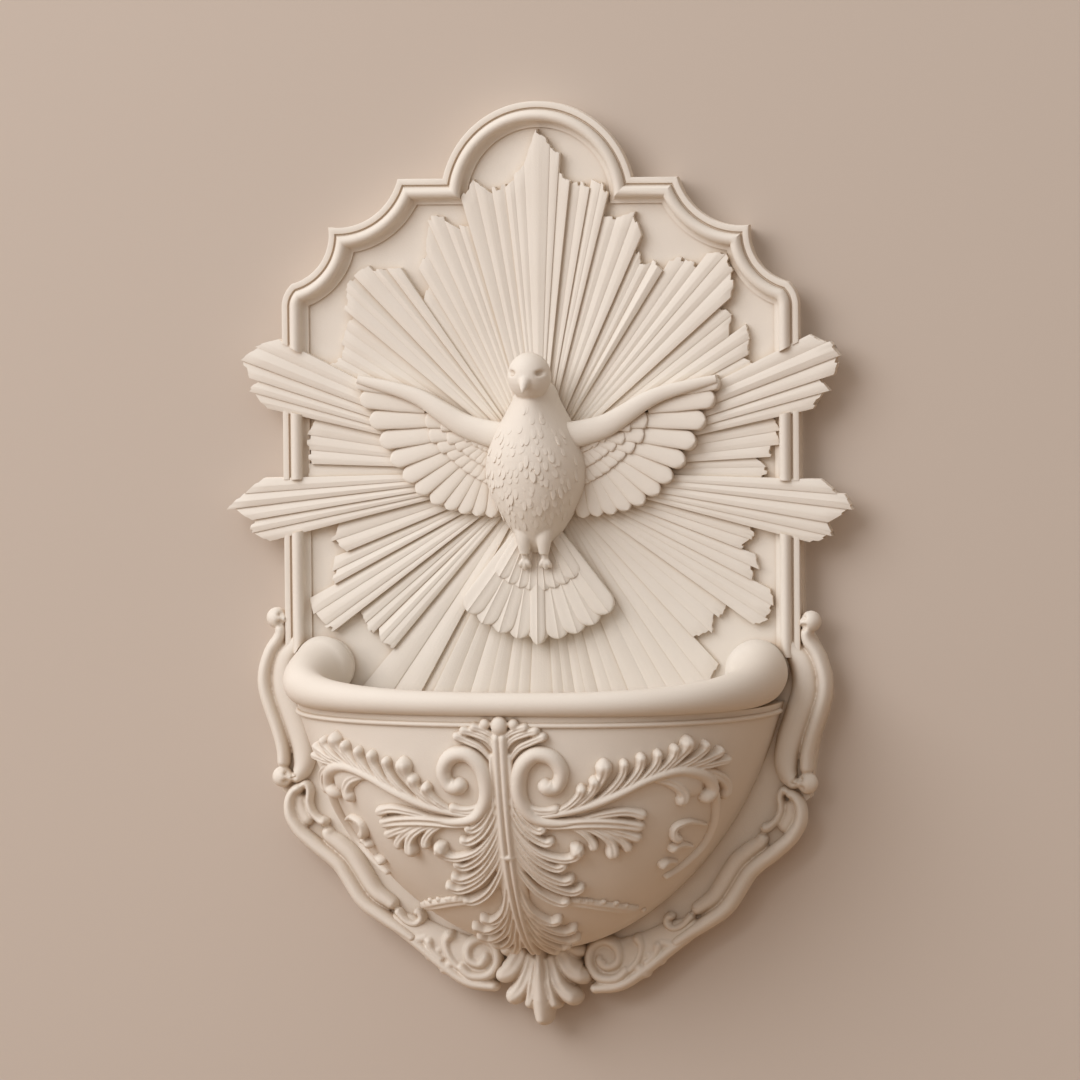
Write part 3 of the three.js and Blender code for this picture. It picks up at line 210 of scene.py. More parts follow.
def dipped(start, end, dip):
    """Centre and radius of the arc between two points whose middle dips inwards."""
    half = abs(end - start) / 2
    radius = (half ** 2 + dip ** 2) / (2 * dip)
    inner = (end - start) / abs(end - start) * -1j
    return (start + end) / 2 + inner * (dip - radius), radius


def crossing(first, second, near):
    """Crossing of two circles on the side near a point."""
    link = second[0] - first[0]
    along = (abs(link) ** 2 + first[1] ** 2 - second[1] ** 2) / (2 * abs(link))
    half = math.sqrt(max(first[1] ** 2 - along ** 2, 0))
    ends = [first[0] + link / abs(link) * (along + side * half * 1j) for side in (1, -1)]
    return min(ends, key=lambda end: abs(end - near))


def arc(start, end, centre, steps):
    turn = np.angle((end - centre) / (start - centre))
    return [centre + (start - centre) * np.exp(1j * turn * k / steps) for k in range(1, steps + 1)]


SCALLOPS = [dipped(STEP_CORNER, CUSP, UPPER_DIP), dipped(CUSP, SHOULDER, LOWER_DIP)]


def upper_edge(inwards):
    """Right half of the plate's edge moved inwards: the crown arch, and the run from it to the stile."""
    radius = CROWN_RADIUS - inwards
    level = STEP_CORNER.imag - inwards
    upper, lower = [(centre, size + inwards) for centre, size in SCALLOPS]
    shoulder = (STILE_X - SHOULDER_RADIUS + STILE_TOP * 1j, SHOULDER_RADIUS - inwards)
    foot = math.sqrt(radius ** 2 - (level - CROWN_CENTRE.imag) ** 2) + level * 1j
    step = upper[0].real - math.sqrt(upper[1] ** 2 - (level - upper[0].imag) ** 2) + level * 1j
    cusp = crossing(upper, lower, CUSP)
    corner = crossing(lower, shoulder, SHOULDER)
    top = CROWN_CENTRE + radius * 1j
    crown = [top, *arc(top, foot, CROWN_CENTRE, 44)]
    run = [
        foot,
        step,
        *arc(step, cusp, upper[0], 22),
        *arc(cusp, corner, lower[0], 20),
        *arc(corner, STILE_X - inwards + STILE_TOP * 1j, shoulder[0], 10),
    ]
    return crown, run


def moulding_profile():
    """(inwards, height) points of the moulding from its outer edge to the field."""
    fillet = [(0, -BEDDED), (0, 5.3), (0.15, 5.75), (0.6, 6), (2.7, 6), (3.1, 5.85), (3.3, 5.4)]
    groove = [(3.4, 5.0), (3.7, 4.6), (4.1, 4.6)]
    turns = np.linspace(0, math.pi, 17)
    torus = [(7.3 - 3.1 * math.cos(t), 4.7 + 4.1 * math.sin(t)) for t in turns]
    cove = [(10.4 + 3.0 * (1 - math.cos(t)), 1.2 + 3.5 * (1 - math.sin(t))) for t in turns[1:9]]
    return fillet + groove + torus + cove + [(13.4, -BEDDED)]


def moulding(path_at):
    """Sweeps the profile over the paths that "path_at" gives for each distance in from the edge."""
    profile = moulding_profile()
    stations = zip(*[path_at(inwards) for inwards, _ in profile])
    return skin([[(p.real, p.imag, FIELD + high) for p, (_, high) in zip(station, profile)]
                 for station in stations])


def stile_point(inwards, angle, clear):
    x = STILE_X - inwards
    return x + (x * math.tan(math.radians(angle)) + clear) * 1j


def whole_crown(inwards):
    half = upper_edge(inwards)[0]
    return [-p.conjugate() for p in half[:0:-1]] + half


BORDER = {
    "shoulder_moulding": lambda u: [*upper_edge(u)[1], stile_point(u, UPPER_ARM[0], -ARM_TUCK)],
    "middle_stile": lambda u: [
        stile_point(u, UPPER_ARM[1], ARM_TUCK), stile_point(u, LOWER_ARM[0], -ARM_TUCK)],
    "lower_stile": lambda u: [stile_point(u, LOWER_ARM[1], ARM_TUCK), STILE_X - u + STILE_FOOT * 1j],
}
cast("crown_moulding", [moulding(whole_crown)])
for border_name, border_path in BORDER.items():
    for part, run in both_sides(border_name, [moulding(border_path)]):
        cast(part, run)

# Glory: bundles of long tapering bars that spread from behind the dove, cast in low relief with
# tilted faces, so that each throws a fine shadow on the next, and broken, stepped ends.
# The two long bundles on each side stand higher and run out over the border.
# d6c8b6 is the lighter painted shade colour in the hollows between the rays.
glory = cast_plaster("combed_ivory_plaster", "d6c8b6", combed=True)
RAY_ROOT = 22
RAY_FOOT = -118  # the lowest rays run down behind the basin's rim
RAY_EASE = 0.3  # rounding of a bar's edges
RAY_RELIEF = {"right": 0.52, "left": 0.7}  # share of the carved pattern's relief that the casting keeps
CHIP = 1.3  # how far a broken end stands out or back
RIDGE, RIDGE_RISE = 0.55, 0.8  # share of a bar's width where its ridge runs; its rise under the tail
RAY_STATIONS = ((0, 0.3), (0.2, 0.6), (0.5, 1), (0.93, 1), (1, 1))  # shares of the length and the relief
EASED_FROM, RAY_CREASE = 24, 28  # degrees between faces from which an edge is rounded, or stays sharp
TOP_START = 96.6
# Each bar: the angle where it stops, in degrees; heights of its first edge, ridge and second edge; ends
# of both edges from the centre, unless it runs to the foot. It starts where the one before it stops.
TOP_RAYS = [
    (94.6, 3.2, 4.4, 3.8, 148, 151), (92.4, 3.8, 4.8, 4.4, 153, 158), (90, 4.4, 5.6, 6.6, 161, 176),
    (87.6, 6.6, 5.9, 5.4, 175, 170), (85.8, 5, 5.6, 5.4, 168, 165), (83.4, 4.2, 5.4, 6, 155, 152)]
RIGHT_RAYS = {
    "crown_rays": [
        (81.3, 2.2, 3.2, 3, 149, 151), (79.3, 3, 4.6, 4.8, 151, 149), (77.2, 2.6, 4.6, 4.8, 155, 153),
        (75.4, 4.6, 5.6, 5.4, 152, 148), (72.4, 2, 3.4, 3, 135, 137), (69, 3, 4.8, 4.4, 138, 143),
        (65.8, 4.2, 5.8, 5.6, 142, 133)],
    "shoulder_rays": [
        (63.4, 1.8, 3.4, 3.2, 126, 121), (61, 3.2, 4, 3, 120, 123), (57.6, 2.6, 6.8, 5.2, 124, 123),
        (54.6, 1.6, 2.6, 2.4, 130, 134), (51.6, 2.2, 3.4, 2.8, 134, 135), (48.6, 3, 5, 4.6, 143, 149),
        (45.2, 4.2, 5.6, 4.8, 149, 146), (41.5, 4.8, 6.4, 6.2, 145, 136), (38.4, 1.6, 3.2, 3, 127, 129),
        (34.8, 2.6, 4, 3.4, 128, 122), (31.6, 3, 4.6, 4.2, 132, 131), (28.6, 3.8, 4.6, 3.8, 130, 126),
        (26.3, 2.6, 3.4, 3, 121, 125)],
    "upper_arm_rays": [
        (23.6, 4.6, 5.6, 5.2, 158, 164), (20.6, 5.4, 7.4, 6.2, 166, 169), (17.8, 4.8, 6.6, 6.6, 168, 162),
        (15.2, 4.8, 7, 6.8, 155, 158), (12.6, 5.2, 6.2, 5.6, 154, 147)],
    "middle_rays": [
        (9.4, 2.8, 4.2, 4, 126, 130), (6.2, 3.6, 4.4, 4, 127, 128), (3.5, 3.8, 4.8, 4.8, 123, 122),
        (1, 1.6, 2.8, 2.6, 114, 119), (-1.6, 2.4, 3, 2.6, 119, 118)],
    "lower_arm_rays": [
        (-4.2, 4.8, 6.4, 6, 147, 157), (-6.8, 5.2, 7.2, 6.4, 160, 166), (-9.8, 5, 7.2, 7, 164, 154),
        (-12.2, 5.2, 6.6, 6.2, 152, 157), (-14.4, 5.2, 6, 5.4, 155, 148)],
    "side_rays": [
        (-17.6, 2.4, 4.2, 4, 115, 117), (-20.8, 3.2, 4.4, 4.2, 116, 112), (-23.8, 2, 4, 3.8, 121, 126),
        (-26.8, 3.2, 4.2, 4, 122, 125), (-29.6, 2.2, 4, 3.8, 136, 140), (-32.6, 3.2, 4.8, 4.4, 141, 141),
        (-35.2, 4, 5.2, 5, 141, 138)],
    "basin_rays": [
        (-39, 1.8, 3.4, 3.2, 119, 122), (-43, 2.8, 3.8, 3.4, 118, 122), (-47, 3, 3.8, 3.6, 120, 119),
        (-51.4, 1.6, 3.2, 3, 136, 141), (-55.4, 2.4, 3.6, 3.2), (-59.4, 2.2, 4, 3.8),
        (-63.4, 2.8, 3.8, 3.4)],
}
LEFT_RAYS = {
    "crown_rays": [
        (80.6, 3.2, 4.2, 3.6, 149, 148), (77.4, 3.4, 4.6, 4, 147, 154), (74.1, 3.8, 4.8, 4.8, 154, 147),
        (71.8, 2, 3.4, 3, 132, 135), (69.2, 2.8, 4, 3.4, 133, 140), (65.8, 3.2, 4.4, 3.8, 141, 144)],
    "shoulder_rays": [
        (62.4, 3, 4.2, 3.6, 141, 130), (58.9, 3.2, 4.2, 3.4, 128, 122), (55.3, 1.8, 3, 2.4, 113, 107),
        (52.6, 4.6, 5.6, 4.6, 128, 132), (49.8, 2.4, 5, 4.4, 132, 137), (46, 4.2, 5.4, 4.8, 140, 141),
        (42.6, 1.8, 5.2, 5.2, 141, 139), (39.2, 5, 6.4, 6.2, 138, 133), (35.6, 1.8, 3, 2.4, 128, 127),
        (32, 2.2, 3.2, 2.4, 126, 124), (29, 2.4, 3.4, 2.8, 123, 120), (26.3, 2.4, 3.4, 2.8, 121, 124)],
    "upper_arm_rays": [
        (23.2, 4.6, 5.8, 5.4, 155, 165), (20, 5.2, 7.2, 6.4, 163, 169), (17.4, 4.8, 6.8, 6.6, 168, 163),
        (15, 5, 7, 6.6, 157, 161), (12.6, 5.2, 6.2, 5.6, 157, 150)],
    "middle_rays": [
        (8.6, 2.8, 4.2, 3.8, 123, 126), (5, 3.4, 4.6, 4.2, 125, 124), (1.6, 3.8, 5.2, 5, 124, 123),
        (-1.6, 1.4, 2.6, 2.4, 124, 124)],
    "lower_arm_rays": [
        (-4.4, 4.8, 6.4, 6, 149, 158), (-7, 5.2, 7.2, 6.4, 160, 168), (-9.6, 5, 7, 7, 165, 157),
        (-12, 5, 6.8, 6.4, 155, 158), (-14.4, 5.2, 6.2, 5.8, 156, 149)],
    "side_rays": [
        (-18.4, 2.6, 4.2, 4, 112, 117), (-22.3, 3.6, 5.2, 5, 116, 112), (-25.4, 1.6, 3.6, 3.6, 119, 123),
        (-28.4, 3, 5.2, 5, 122, 126), (-31.8, 1.6, 4.2, 4.4, 141, 144), (-35.2, 4, 5.6, 5.4, 142, 141)],
    "basin_rays": [
        (-37.2, 5, 5.8, 5.8, 141, 139), (-40.4, 1.6, 3.6, 3.6, 121, 124), (-43.4, 3, 4.2, 3.6, 122, 125),
        (-46.6, 2.4, 5.4, 5.4, 120, 124), (-49.7, 5, 5.8, 5, 124, 122), (-55.4, 1.6, 3.4, 3.2),
        (-60.9, 2.6, 4.8, 5), (-63.4, 1.2, 2.4, 2.2)],
}
TAIL_EDGES = [
    -68, -72, -75.4, -78.6, -81.4, -84.2, -87, -93, -96.2, -99.6, -103.8, -108.2, -112.4, -116.6]
TAIL_TILTS = [(3, 4.2), (2.2, 4), (3.4, 3), (1.8, 4.4), (3.2, 2.4), (2, 4.2), (3.6, 5.2)]  # both edges
breaks = random.Random(5)


def ray_bar(first, second, heights, ends):
    """One bar between two angles in degrees, from the hub out to its broken end."""
    shares = [-0.02, 0, 0.28, 0.37, RIDGE, 0.68, 0.77, 1, 1.02]
    tops = np.interp(shares, (0, RIDGE, 1), heights)
    level = np.mean(heights)
    chips = np.repeat([breaks.uniform(-CHIP, CHIP) for _ in range(3)], 3)
    rings = []
    for part, calm in RAY_STATIONS:
        ring = []
        for i, share in enumerate(shares):
            angle = math.radians(first + (second - first) * share)
            end = ends[0] + (ends[1] - ends[0]) * share if ends else RAY_FOOT / math.sin(angle)
            radius = RAY_ROOT + (end - RAY_ROOT) * part
            if ends and part == 1:
                radius += chips[i]
            top = level + (tops[i] - level) * calm if 0 <= share <= 1 else -BEDDED
            ring.append((radius * math.cos(angle), radius * math.sin(angle), FIELD + top))
        rings.append(ring)
    rings.append([(x, y, FIELD - 1.5 * BEDDED) for x, y, _ in rings[-1]])
    return skin(rings)


def apply_modifiers(obj):
    """Turns the shape that the modifiers give into the object's own plain mesh."""
    made = bpy.data.meshes.new_from_object(obj.evaluated_get(bpy.context.evaluated_depsgraph_get()))
    obj.modifiers.clear()
    obj.data = made


def glory_bundle(part, start, rays, side):
    bars = []
    level = np.mean([ray[1:4] for ray in rays])
    for second, *rest in rays:
        heights = [level + RAY_RELIEF[side] * (high - level) for high in rest[:3]]
        bar = ray_bar(start, second, heights, rest[3:])
        bars.append(bar if side == "right" else mirrored(bar))
        start = second
    bundle = shape(f"{part}_cast", bars)
    ease = bundle.modifiers.new("ease", "BEVEL")
    ease.width = RAY_EASE
    ease.segments = 2
    ease.limit_method = "ANGLE"
    ease.angle_limit = math.radians(EASED_FROM)
    apply_modifiers(bundle)
    settle(bundle, glory, [part], RAY_CREASE)


tail_rays = []
for i, second_edge in enumerate(TAIL_EDGES):
    low, high = TAIL_TILTS[i % len(TAIL_TILTS)]
    tail_rays.append((second_edge, low, (low + high) / 2 + RIDGE_RISE, high))
glory_bundle("top_rays", TOP_START, TOP_RAYS, "right")
glory_bundle("tail_rays", RIGHT_RAYS["basin_rays"][-1][0], tail_rays, "right")
bundle_start = TOP_RAYS[-1][0]
for bundle_name, right_rays in RIGHT_RAYS.items():
    glory_bundle(f"{bundle_name}_right", bundle_start, right_rays, "right")
    glory_bundle(f"{bundle_name}_left", bundle_start, LEFT_RAYS[bundle_name], "left")
    bundle_start = right_rays[-1][0]

# Hub of the glory: a plain disc behind the dove that the rays run up to and its screws pass through.
# It is cast with the plate and hidden once the dove is fixed.
refinish("glory_hub", plaster)

# Dove: body, head and beak, cast in one in high relief and bedded on the rays, then smoothed
# by hand while green, which leaves soft forms and hollowed eyes. The small feathers of the
# breast are pressed into the face one by one.
DOVE_FOOT = 13  # the dove's sides run down to the rays
DOVE_BACK = 19
BODY_HALF_WIDTH, BODY_SWELL = 26.5, 31
BODY_LOW, BODY_HIGH = -42, 49
BODY_SECTIONS = [  # shares of the height, the half width and the swell
    (0, 0.14, 0.2), (0.07, 0.36, 0.4), (0.15, 0.57, 0.61), (0.27, 0.82, 0.84), (0.4, 0.99, 0.96),
    (0.53, 1, 1), (0.66, 0.86, 0.96), (0.78, 0.63, 0.88), (0.87, 0.46, 0.8), (0.94, 0.36, 0.7),
    (1, 0.12, 0.4)]
HEAD = (0, 50, 38)
HEAD_HALF = (11.3, 12.4, 12.8)
BEAK = [(0, 48.4, 46.5), (0, 46.8, 51), (0, 44.4, 53.6), (0, 41.8, 54.2)]
BEAK_RADII = [4.2, 3.2, 2.1, 0.8]
THIGH = [(6, -20, 27), (5.4, -33, 30.2), (5, -42.4, 29)]
THIGH_RADII = [7, 4.8, 2.7]
EYE = (7.9, 52, 46.8)
EYE_CUTS = (-1.4, 0, 1.4)  # three dabs from the outer to the inner corner
EYE_REACH, EYE_DEPTH = (1.8, 1.2, 3), 1.2
SOFT_CREASE = 70  # degrees between faces from which an edge of a modelled piece stays sharp
BREAST_ROWS, BREAST_TOP, BREAST_STEP = 19, 39, 3.5
FLAKE_PITCH, STRAY_X, STRAY_Y, FLAKE_SINK = 3.7, 0.9, 1.6, 1.3
FLAKE_SPREAD, FLAKE_GAPS = 0.88, 0.2  # share of the breast that is feathered, share of feathers left out
FLAKE_WIDE, FLAKE_LONG, FLAKE_HIGH = (2.2, 3.4), (5, 8.5), 1.15


def along_line(points, shares):
    """Points at shares of a line's length."""
    run = np.concatenate([[0], np.cumsum(np.linalg.norm(np.diff(points, axis=0), axis=1))])
    return np.column_stack([np.interp(np.asarray(shares) * run[-1], run, axis) for axis in points.T])


def spline(points, shares):
    """Points of a smooth curve through the given ones, at shares of its length."""
    given = np.asarray(points, float)
    given = np.vstack([2 * given[0] - given[1], given, 2 * given[-1] - given[-2]])
    part = np.linspace(0, 1, 20, endpoint=False)[:, None]
    fine = []
    for a, b, c, d in zip(given, given[1:], given[2:], given[3:]):
        bend = (2 * a - 5 * b + 4 * c - d) * part ** 2 + (3 * b - a - 3 * c + d) * part ** 3
        fine.append(b + ((c - a) * part + bend) / 2)
    return along_line(np.vstack([*fine, given[-2:-1]]), shares)


def spread_over(values, shares):
    """Evenly spaced values read at shares of their run."""
    return np.interp(shares, np.linspace(0, 1, len(values)), values)


def unit(rows):
    """Vectors of length one."""
    return rows / np.linalg.norm(rows, axis=1)[:, None]


def soft_casting(part, shells, voxel, rounds, kept=1.0):
    """Overlapping shells melted into one skin, its creases softened and its faces thinned out."""
    obj = shape(f"{part}_cast", shells)
    melt = obj.modifiers.new("melt", "REMESH")
    melt.mode = "VOXEL"
    melt.voxel_size = voxel
    soften = obj.modifiers.new("soften", "SMOOTH")
    soften.factor = 0.5
    soften.iterations = rounds
    if kept < 1:
        obj.modifiers.new("thin", "DECIMATE").ratio = kept
    apply_modifiers(obj)
    return obj


def ball(centre, halves, turns=20):
    """Closed ellipsoid."""
    round_ = np.linspace(0, 2 * math.pi, turns, endpoint=False)
    rings = [[(math.sin(t) * math.cos(a), math.cos(t), math.sin(t) * math.sin(a)) for a in round_]
             for t in np.linspace(0.04, math.pi - 0.04, turns // 2)]
    return skin(np.array(rings) * halves + centre)


def tube(points, radii, sides=14):
    """Round tapering tube along points in space."""
    along = unit(np.gradient(points, axis=0))
    across = unit(np.cross(along, np.where(np.abs(along[:, :1]) > 0.9, (0, 1, 0), (1, 0, 0))))
    third = np.cross(along, across)
    angle = np.linspace(0, 2 * math.pi, sides, endpoint=False)[:, None]
    ring = np.cos(angle) * across[:, None] + np.sin(angle) * third[:, None]
    return skin(points[:, None] + ring * radii[:, None, None])


body_levels = spline(BODY_SECTIONS, np.linspace(0, 1, 48))


def body_section(y):
    """Half width and swell of the dove's body at a height."""
    share = (y - BODY_LOW) / (BODY_HIGH - BODY_LOW)
    half = BODY_HALF_WIDTH * np.interp(share, body_levels[:, 0], body_levels[:, 1])
    return half, BODY_SWELL * np.interp(share, body_levels[:, 0], body_levels[:, 2])


body_rings = []
for level in body_levels:
    y = BODY_LOW + (BODY_HIGH - BODY_LOW) * level[0]
    half, swell = body_section(y)
    ring = [(half * math.cos(a), y, DOVE_BACK + swell * math.sin(a)) for a in np.linspace(0, math.pi, 40)]
    body_rings.append([(0.9 * half, y, DOVE_FOOT), *ring, (-0.9 * half, y, DOVE_FOOT)])
limb_run = np.linspace(0, 1, 12)
thigh = tube(spline(THIGH, limb_run), spread_over(THIGH_RADII, limb_run))
beak = tube(spline(BEAK, limb_run), spread_over(BEAK_RADII, limb_run))
dove_shells = [skin(body_rings), ball(HEAD, HEAD_HALF, 32), beak, thigh, mirrored(thigh)]
dove = soft_casting("dove_body", dove_shells, voxel=0.6, rounds=6)


def dab(mesh, spot, reach, lift):
    """Pushes the skin in or out along its normals round a spot, as a modelling tool does."""
    count = len(mesh.vertices)
    place = np.empty(count * 3)
    normal = np.empty(count * 3)
    mesh.vertices.foreach_get("co", place)
    mesh.vertices.foreach_get("normal", normal)
    place = place.reshape(-1, 3)
    near = np.exp(-np.sum(((place - spot) / reach) ** 2, axis=1))
    place += normal.reshape(-1, 3) * (lift * near)[:, None]
    mesh.vertices.foreach_set("co", place.ravel())
    mesh.update()


for eye_side in (1, -1):
    for inwards in EYE_CUTS:
        eye = ((EYE[0] - inwards) * eye_side, EYE[1] - 0.25 * inwards, EYE[2])
        dab(dove.data, eye, EYE_REACH, -EYE_DEPTH)
settle(dove, plaster, ["dove_body"], SOFT_CREASE)


def new_tree(name, **inputs):
    """A geometry tree with named inputs, and what its input node gives."""
    tree = bpy.data.node_groups.new(name, "GeometryNodeTree")
    for label, kind in {"Geometry": "Geometry", **inputs, "Finish": "Material"}.items():
        tree.interface.new_socket(label, in_out="INPUT", socket_type=f"NodeSocket{kind}")
    tree.interface.new_socket("Geometry", in_out="OUTPUT", socket_type="NodeSocketGeometry")
    return tree, node(tree, "NodeGroupInput")


def end_tree(tree, geometry, finish):
    """Ends a tree in real geometry with its finish."""
    real = node(tree, "GeometryNodeRealizeInstances", {"Geometry": geometry})["Geometry"]
    done = node(tree, "GeometryNodeSetMaterial", {"Geometry": real, "Material": finish})["Geometry"]
    node(tree, "NodeGroupOutput", {"Geometry": done})


def run_tree(obj, tree, **inputs):
    """Makes what a tree gives the object's own plain mesh."""
    modifier = obj.modifiers.new(tree.name, "NODES")
    modifier.node_group = tree
    sockets = {s.name: s.identifier for s in tree.interface.items_tree if s.in_out == "INPUT"}
    for label, value in inputs.items():
        modifier[sockets[label]] = value
    apply_modifiers(obj)


def copies_tree():
    """Places a shape on every point, turned and sized by the point's own attributes."""
    tree, given = new_tree("copies_on_points", Shape="Object")
    stored = "GeometryNodeInputNamedAttribute"
    turn = node(tree, stored, {"Name": "turn"}, data_type="FLOAT_VECTOR")["Attribute"]
    size = node(tree, stored, {"Name": "size"}, data_type="FLOAT_VECTOR")["Attribute"]
    one = node(tree, "GeometryNodeObjectInfo", {"Object": given["Shape"]})["Geometry"]
    placed = node(tree, "GeometryNodeInstanceOnPoints", {
        "Points": given["Geometry"], "Instance": one, "Rotation": turn, "Scale": size})["Instances"]
    end_tree(tree, placed, given["Finish"])
    return tree


COPIES = copies_tree()


def copies(name, original, spots, material):
    """One plain mesh of an original copied to (place, turn, size) spots; the original is used up."""
    places, turns, sizes = zip(*spots)
    obj = add_mesh(name, [tuple(p) for p in places])
    for label, values in (("turn", turns), ("size", sizes)):
        layer = obj.data.attributes.new(label, "FLOAT_VECTOR", "POINT")
        layer.data.foreach_set("vector", np.array(values, float).ravel())
    run_tree(obj, COPIES, Shape=original, Finish=material)
    bpy.data.objects.remove(original)
    return obj


def feather_shape(round_share=0.14, shaft=0.0):
    """Tongue of a feather, one unit long, wide and high, with a flat crowned back and a round end."""
    across = (1, 0.97, 0.86, 0.5, 0.14, 0, -0.14, -0.5, -0.86, -0.97, -1)
    crown = [1 - 0.05 * a * a - 0.05 * abs(a) ** 14 + shaft * (abs(a) < 0.05) for a in across]
    straight = 1 - round_share
    rings = []
    for share in [0, straight / 2, *(straight + round_share * np.sin(np.linspace(0, 1, 9) * math.pi / 2))]:
        past = max(0.0, (share - straight) / round_share)
        half = (0.34 + 0.16 * min(share / 0.6, 1)) * math.sqrt(max(1 - past ** 2.2, 0.004))
        top = [(half * a, share, high - 0.03 * past ** 2) for a, high in zip(across, crown)]
        rings.append([(half, share, 0), *top, (-half, share, 0)])
    return shape("feather", [skin(rings)])


def breast(x, y):
    """How far the dove's breast stands off the wall."""
    half, swell = body_section(y)
    return DOVE_BACK + swell * math.sqrt(max(1 - (x / half) ** 2, 0.02))


chance = random.Random(7)
flake_spots = []
for row in range(BREAST_ROWS):
    row_y = BREAST_TOP - BREAST_STEP * row
    half, _ = body_section(row_y)
    for column in range(-7, 8):
        flake_x = (column + 0.5 * (row % 2)) * FLAKE_PITCH + chance.uniform(-STRAY_X, STRAY_X)
        flake_y = row_y + chance.uniform(-STRAY_Y, STRAY_Y)
        if abs(flake_x) > FLAKE_SPREAD * half or chance.random() < FLAKE_GAPS:
            continue
        slope_x = breast(flake_x + 0.4, flake_y) - breast(flake_x - 0.4, flake_y)
        slope_y = breast(flake_x, flake_y + 0.4) - breast(flake_x, flake_y - 0.4)
        normal = Vector((-slope_x, -slope_y, 0.8)).normalized()
        side = Vector((flake_x * 0.02 + chance.uniform(-0.15, 0.15), -1, 0)).cross(normal).normalized()
        lifted = Matrix.Rotation(math.radians(chance.uniform(0.5, 4)), 3, side) @ normal
        lie = Matrix((side, lifted.cross(side), lifted)).transposed().to_euler()
        foot = Vector((flake_x, flake_y, breast(flake_x, flake_y))) - normal * FLAKE_SINK
        size = (chance.uniform(*FLAKE_WIDE), chance.uniform(*FLAKE_LONG), FLAKE_HIGH)
        flake_spots.append((foot, lie, size))
flakes = copies("breast_feathers", feather_shape(0.5), flake_spots, plaster)
settle(flakes, plaster, [], crease=50)

# Wings: four rows of overlapping tongue feathers under a smooth rounded arm, spread as in flight
# and cast in half relief, with their edges running down to the rays.
WING_ARM = [
    (6, 16), (15.5, 18.2), (25.4, 20.4), (37.3, 24), (47.9, 30.2), (57, 36), (65.8, 40.2), (78, 43.8),
    (95, 48)]
ARM_HALVES = [8, 7.2, 6.4, 5.8, 5, 4.3, 3.6, 3, 2.2]
ARM_TOPS = [34, 32, 30.4, 29.4, 28.6, 27.2, 26, 25, 23.6]
WING_FEATHERS = [  # tip of each long feather, and the way it points in degrees
    (96.5, 45.2, 12), (94, 37.2, 8), (89, 25.5, 0), (83.5, 14.5, -7), (77.5, 4, -18), (70.5, -5, -29),
    (63.5, -12, -38), (55, -17.5, -48), (47, -20.5, -56), (39, -22.5, -67), (31, -23.5, -79),
    (23, -24, -92)]
COVERT_TIPS = [
    (60, 34), (59, 25.5), (57, 17.5), (52, 11.5), (46.5, 7), (42, 3), (37.6, -0.5), (33.4, -3),
    (29.4, -5), (25.6, -6.5), (22, -7.5)]
LONG_FEATHER, COVERT = (44, 10.4, 22.4), (22, 9, 24)  # length, width, height
LESSER_COVERTS = [(15, 7.2, 25.2), (13, 6.2, 26.2)]
LESSER_BACK = 7.6  # how far each row of lesser coverts stops short of the one before
FEATHER_ROLL = math.radians(-9)


def wing_feathers():
    """Spots for every feather of the right wing, row by row."""
    ways = np.array([way for _, _, way in WING_FEATHERS])
    coverts = [(x, y, way) for (x, y), way in zip(COVERT_TIPS, (ways[1:] + ways[:-1]) / 2)]
    rows = [(WING_FEATHERS, LONG_FEATHER), (coverts, COVERT)]
    for size in LESSER_COVERTS:
        above = []
        for tip, after in zip(rows[-1][0], rows[-1][0][1:]):
            x, y, way = [(a + b) / 2 for a, b in zip(tip, after)]
            aim = math.radians(way)
            above.append((x - LESSER_BACK * math.cos(aim), y - LESSER_BACK * math.sin(aim), way))
        rows.append((above[1:], size))
    spots = []
    for tips, (long, wide, top) in rows:
        for i, (x, y, way) in enumerate(tips):
            aim = math.radians(way)
            reach = long * (min(1, 0.76 + 0.04 * i) if i else 0.5)  # the outer ones start under the thin arm
            root = (x - reach * math.cos(aim), y - reach * math.sin(aim), DOVE_FOOT)
            size = (wide * (1 - 0.012 * i if i else 0.7), reach, top - DOVE_FOOT)
            spots.append((root, (0, FEATHER_ROLL, aim - math.pi / 2), size))
    return spots


def arm_shell():
    """Smooth rounded bar along the wing's front edge."""
    share = np.linspace(0, 1, 40)
    line = spline(WING_ARM, share)
    along = unit(np.gradient(line, axis=0))
    across = np.column_stack([along[:, 1], -along[:, 0]])
    rings = []
    for p, a, h, t in zip(line, across, spread_over(ARM_HALVES, share), spread_over(ARM_TOPS, share)):
        arch = [(*(p + a * h * math.cos(k)), t - 0.62 * h * (1 - math.sin(k)))
                for k in np.linspace(0, math.pi, 15)]
        rings.append([(*(p + 0.8 * h * a), DOVE_FOOT), *arch, (*(p - 0.8 * h * a), DOVE_FOOT)])
    return skin(rings)


def shells_of(obj):
    """The object's mesh as one shell."""
    mesh = obj.data
    points = np.empty(len(mesh.vertices) * 3)
    mesh.vertices.foreach_get("co", points)
    return points.reshape(-1, 3), [tuple(face.vertices) for face in mesh.polygons]


wing_spread = copies("wing_feathers", feather_shape(), wing_feathers(), plaster)
wing_shells = [shells_of(wing_spread), arm_shell()]
bpy.data.objects.remove(wing_spread)
for part, shells in both_sides("wing", wing_shells):
    cast(part, shells, crease=50)

# Tail: a fan of nine broad feathers with a row of eight short coverts over their roots and a ridged
# middle feather, cast with its edge standing clear of the rays.
TAIL_ROOT = (0, -24)
TAIL_SPREAD = 36.5  # degrees each side of straight down
TAIL_ROWS = [  # count, length, width, height and spread of the feathers
    (9, 61, 13, 22.2, 1), (8, 36, 10, 23.4, 0.86), (1, 63, 8.4, 23.4, 0)]
TAIL_ROLL = math.radians(6)


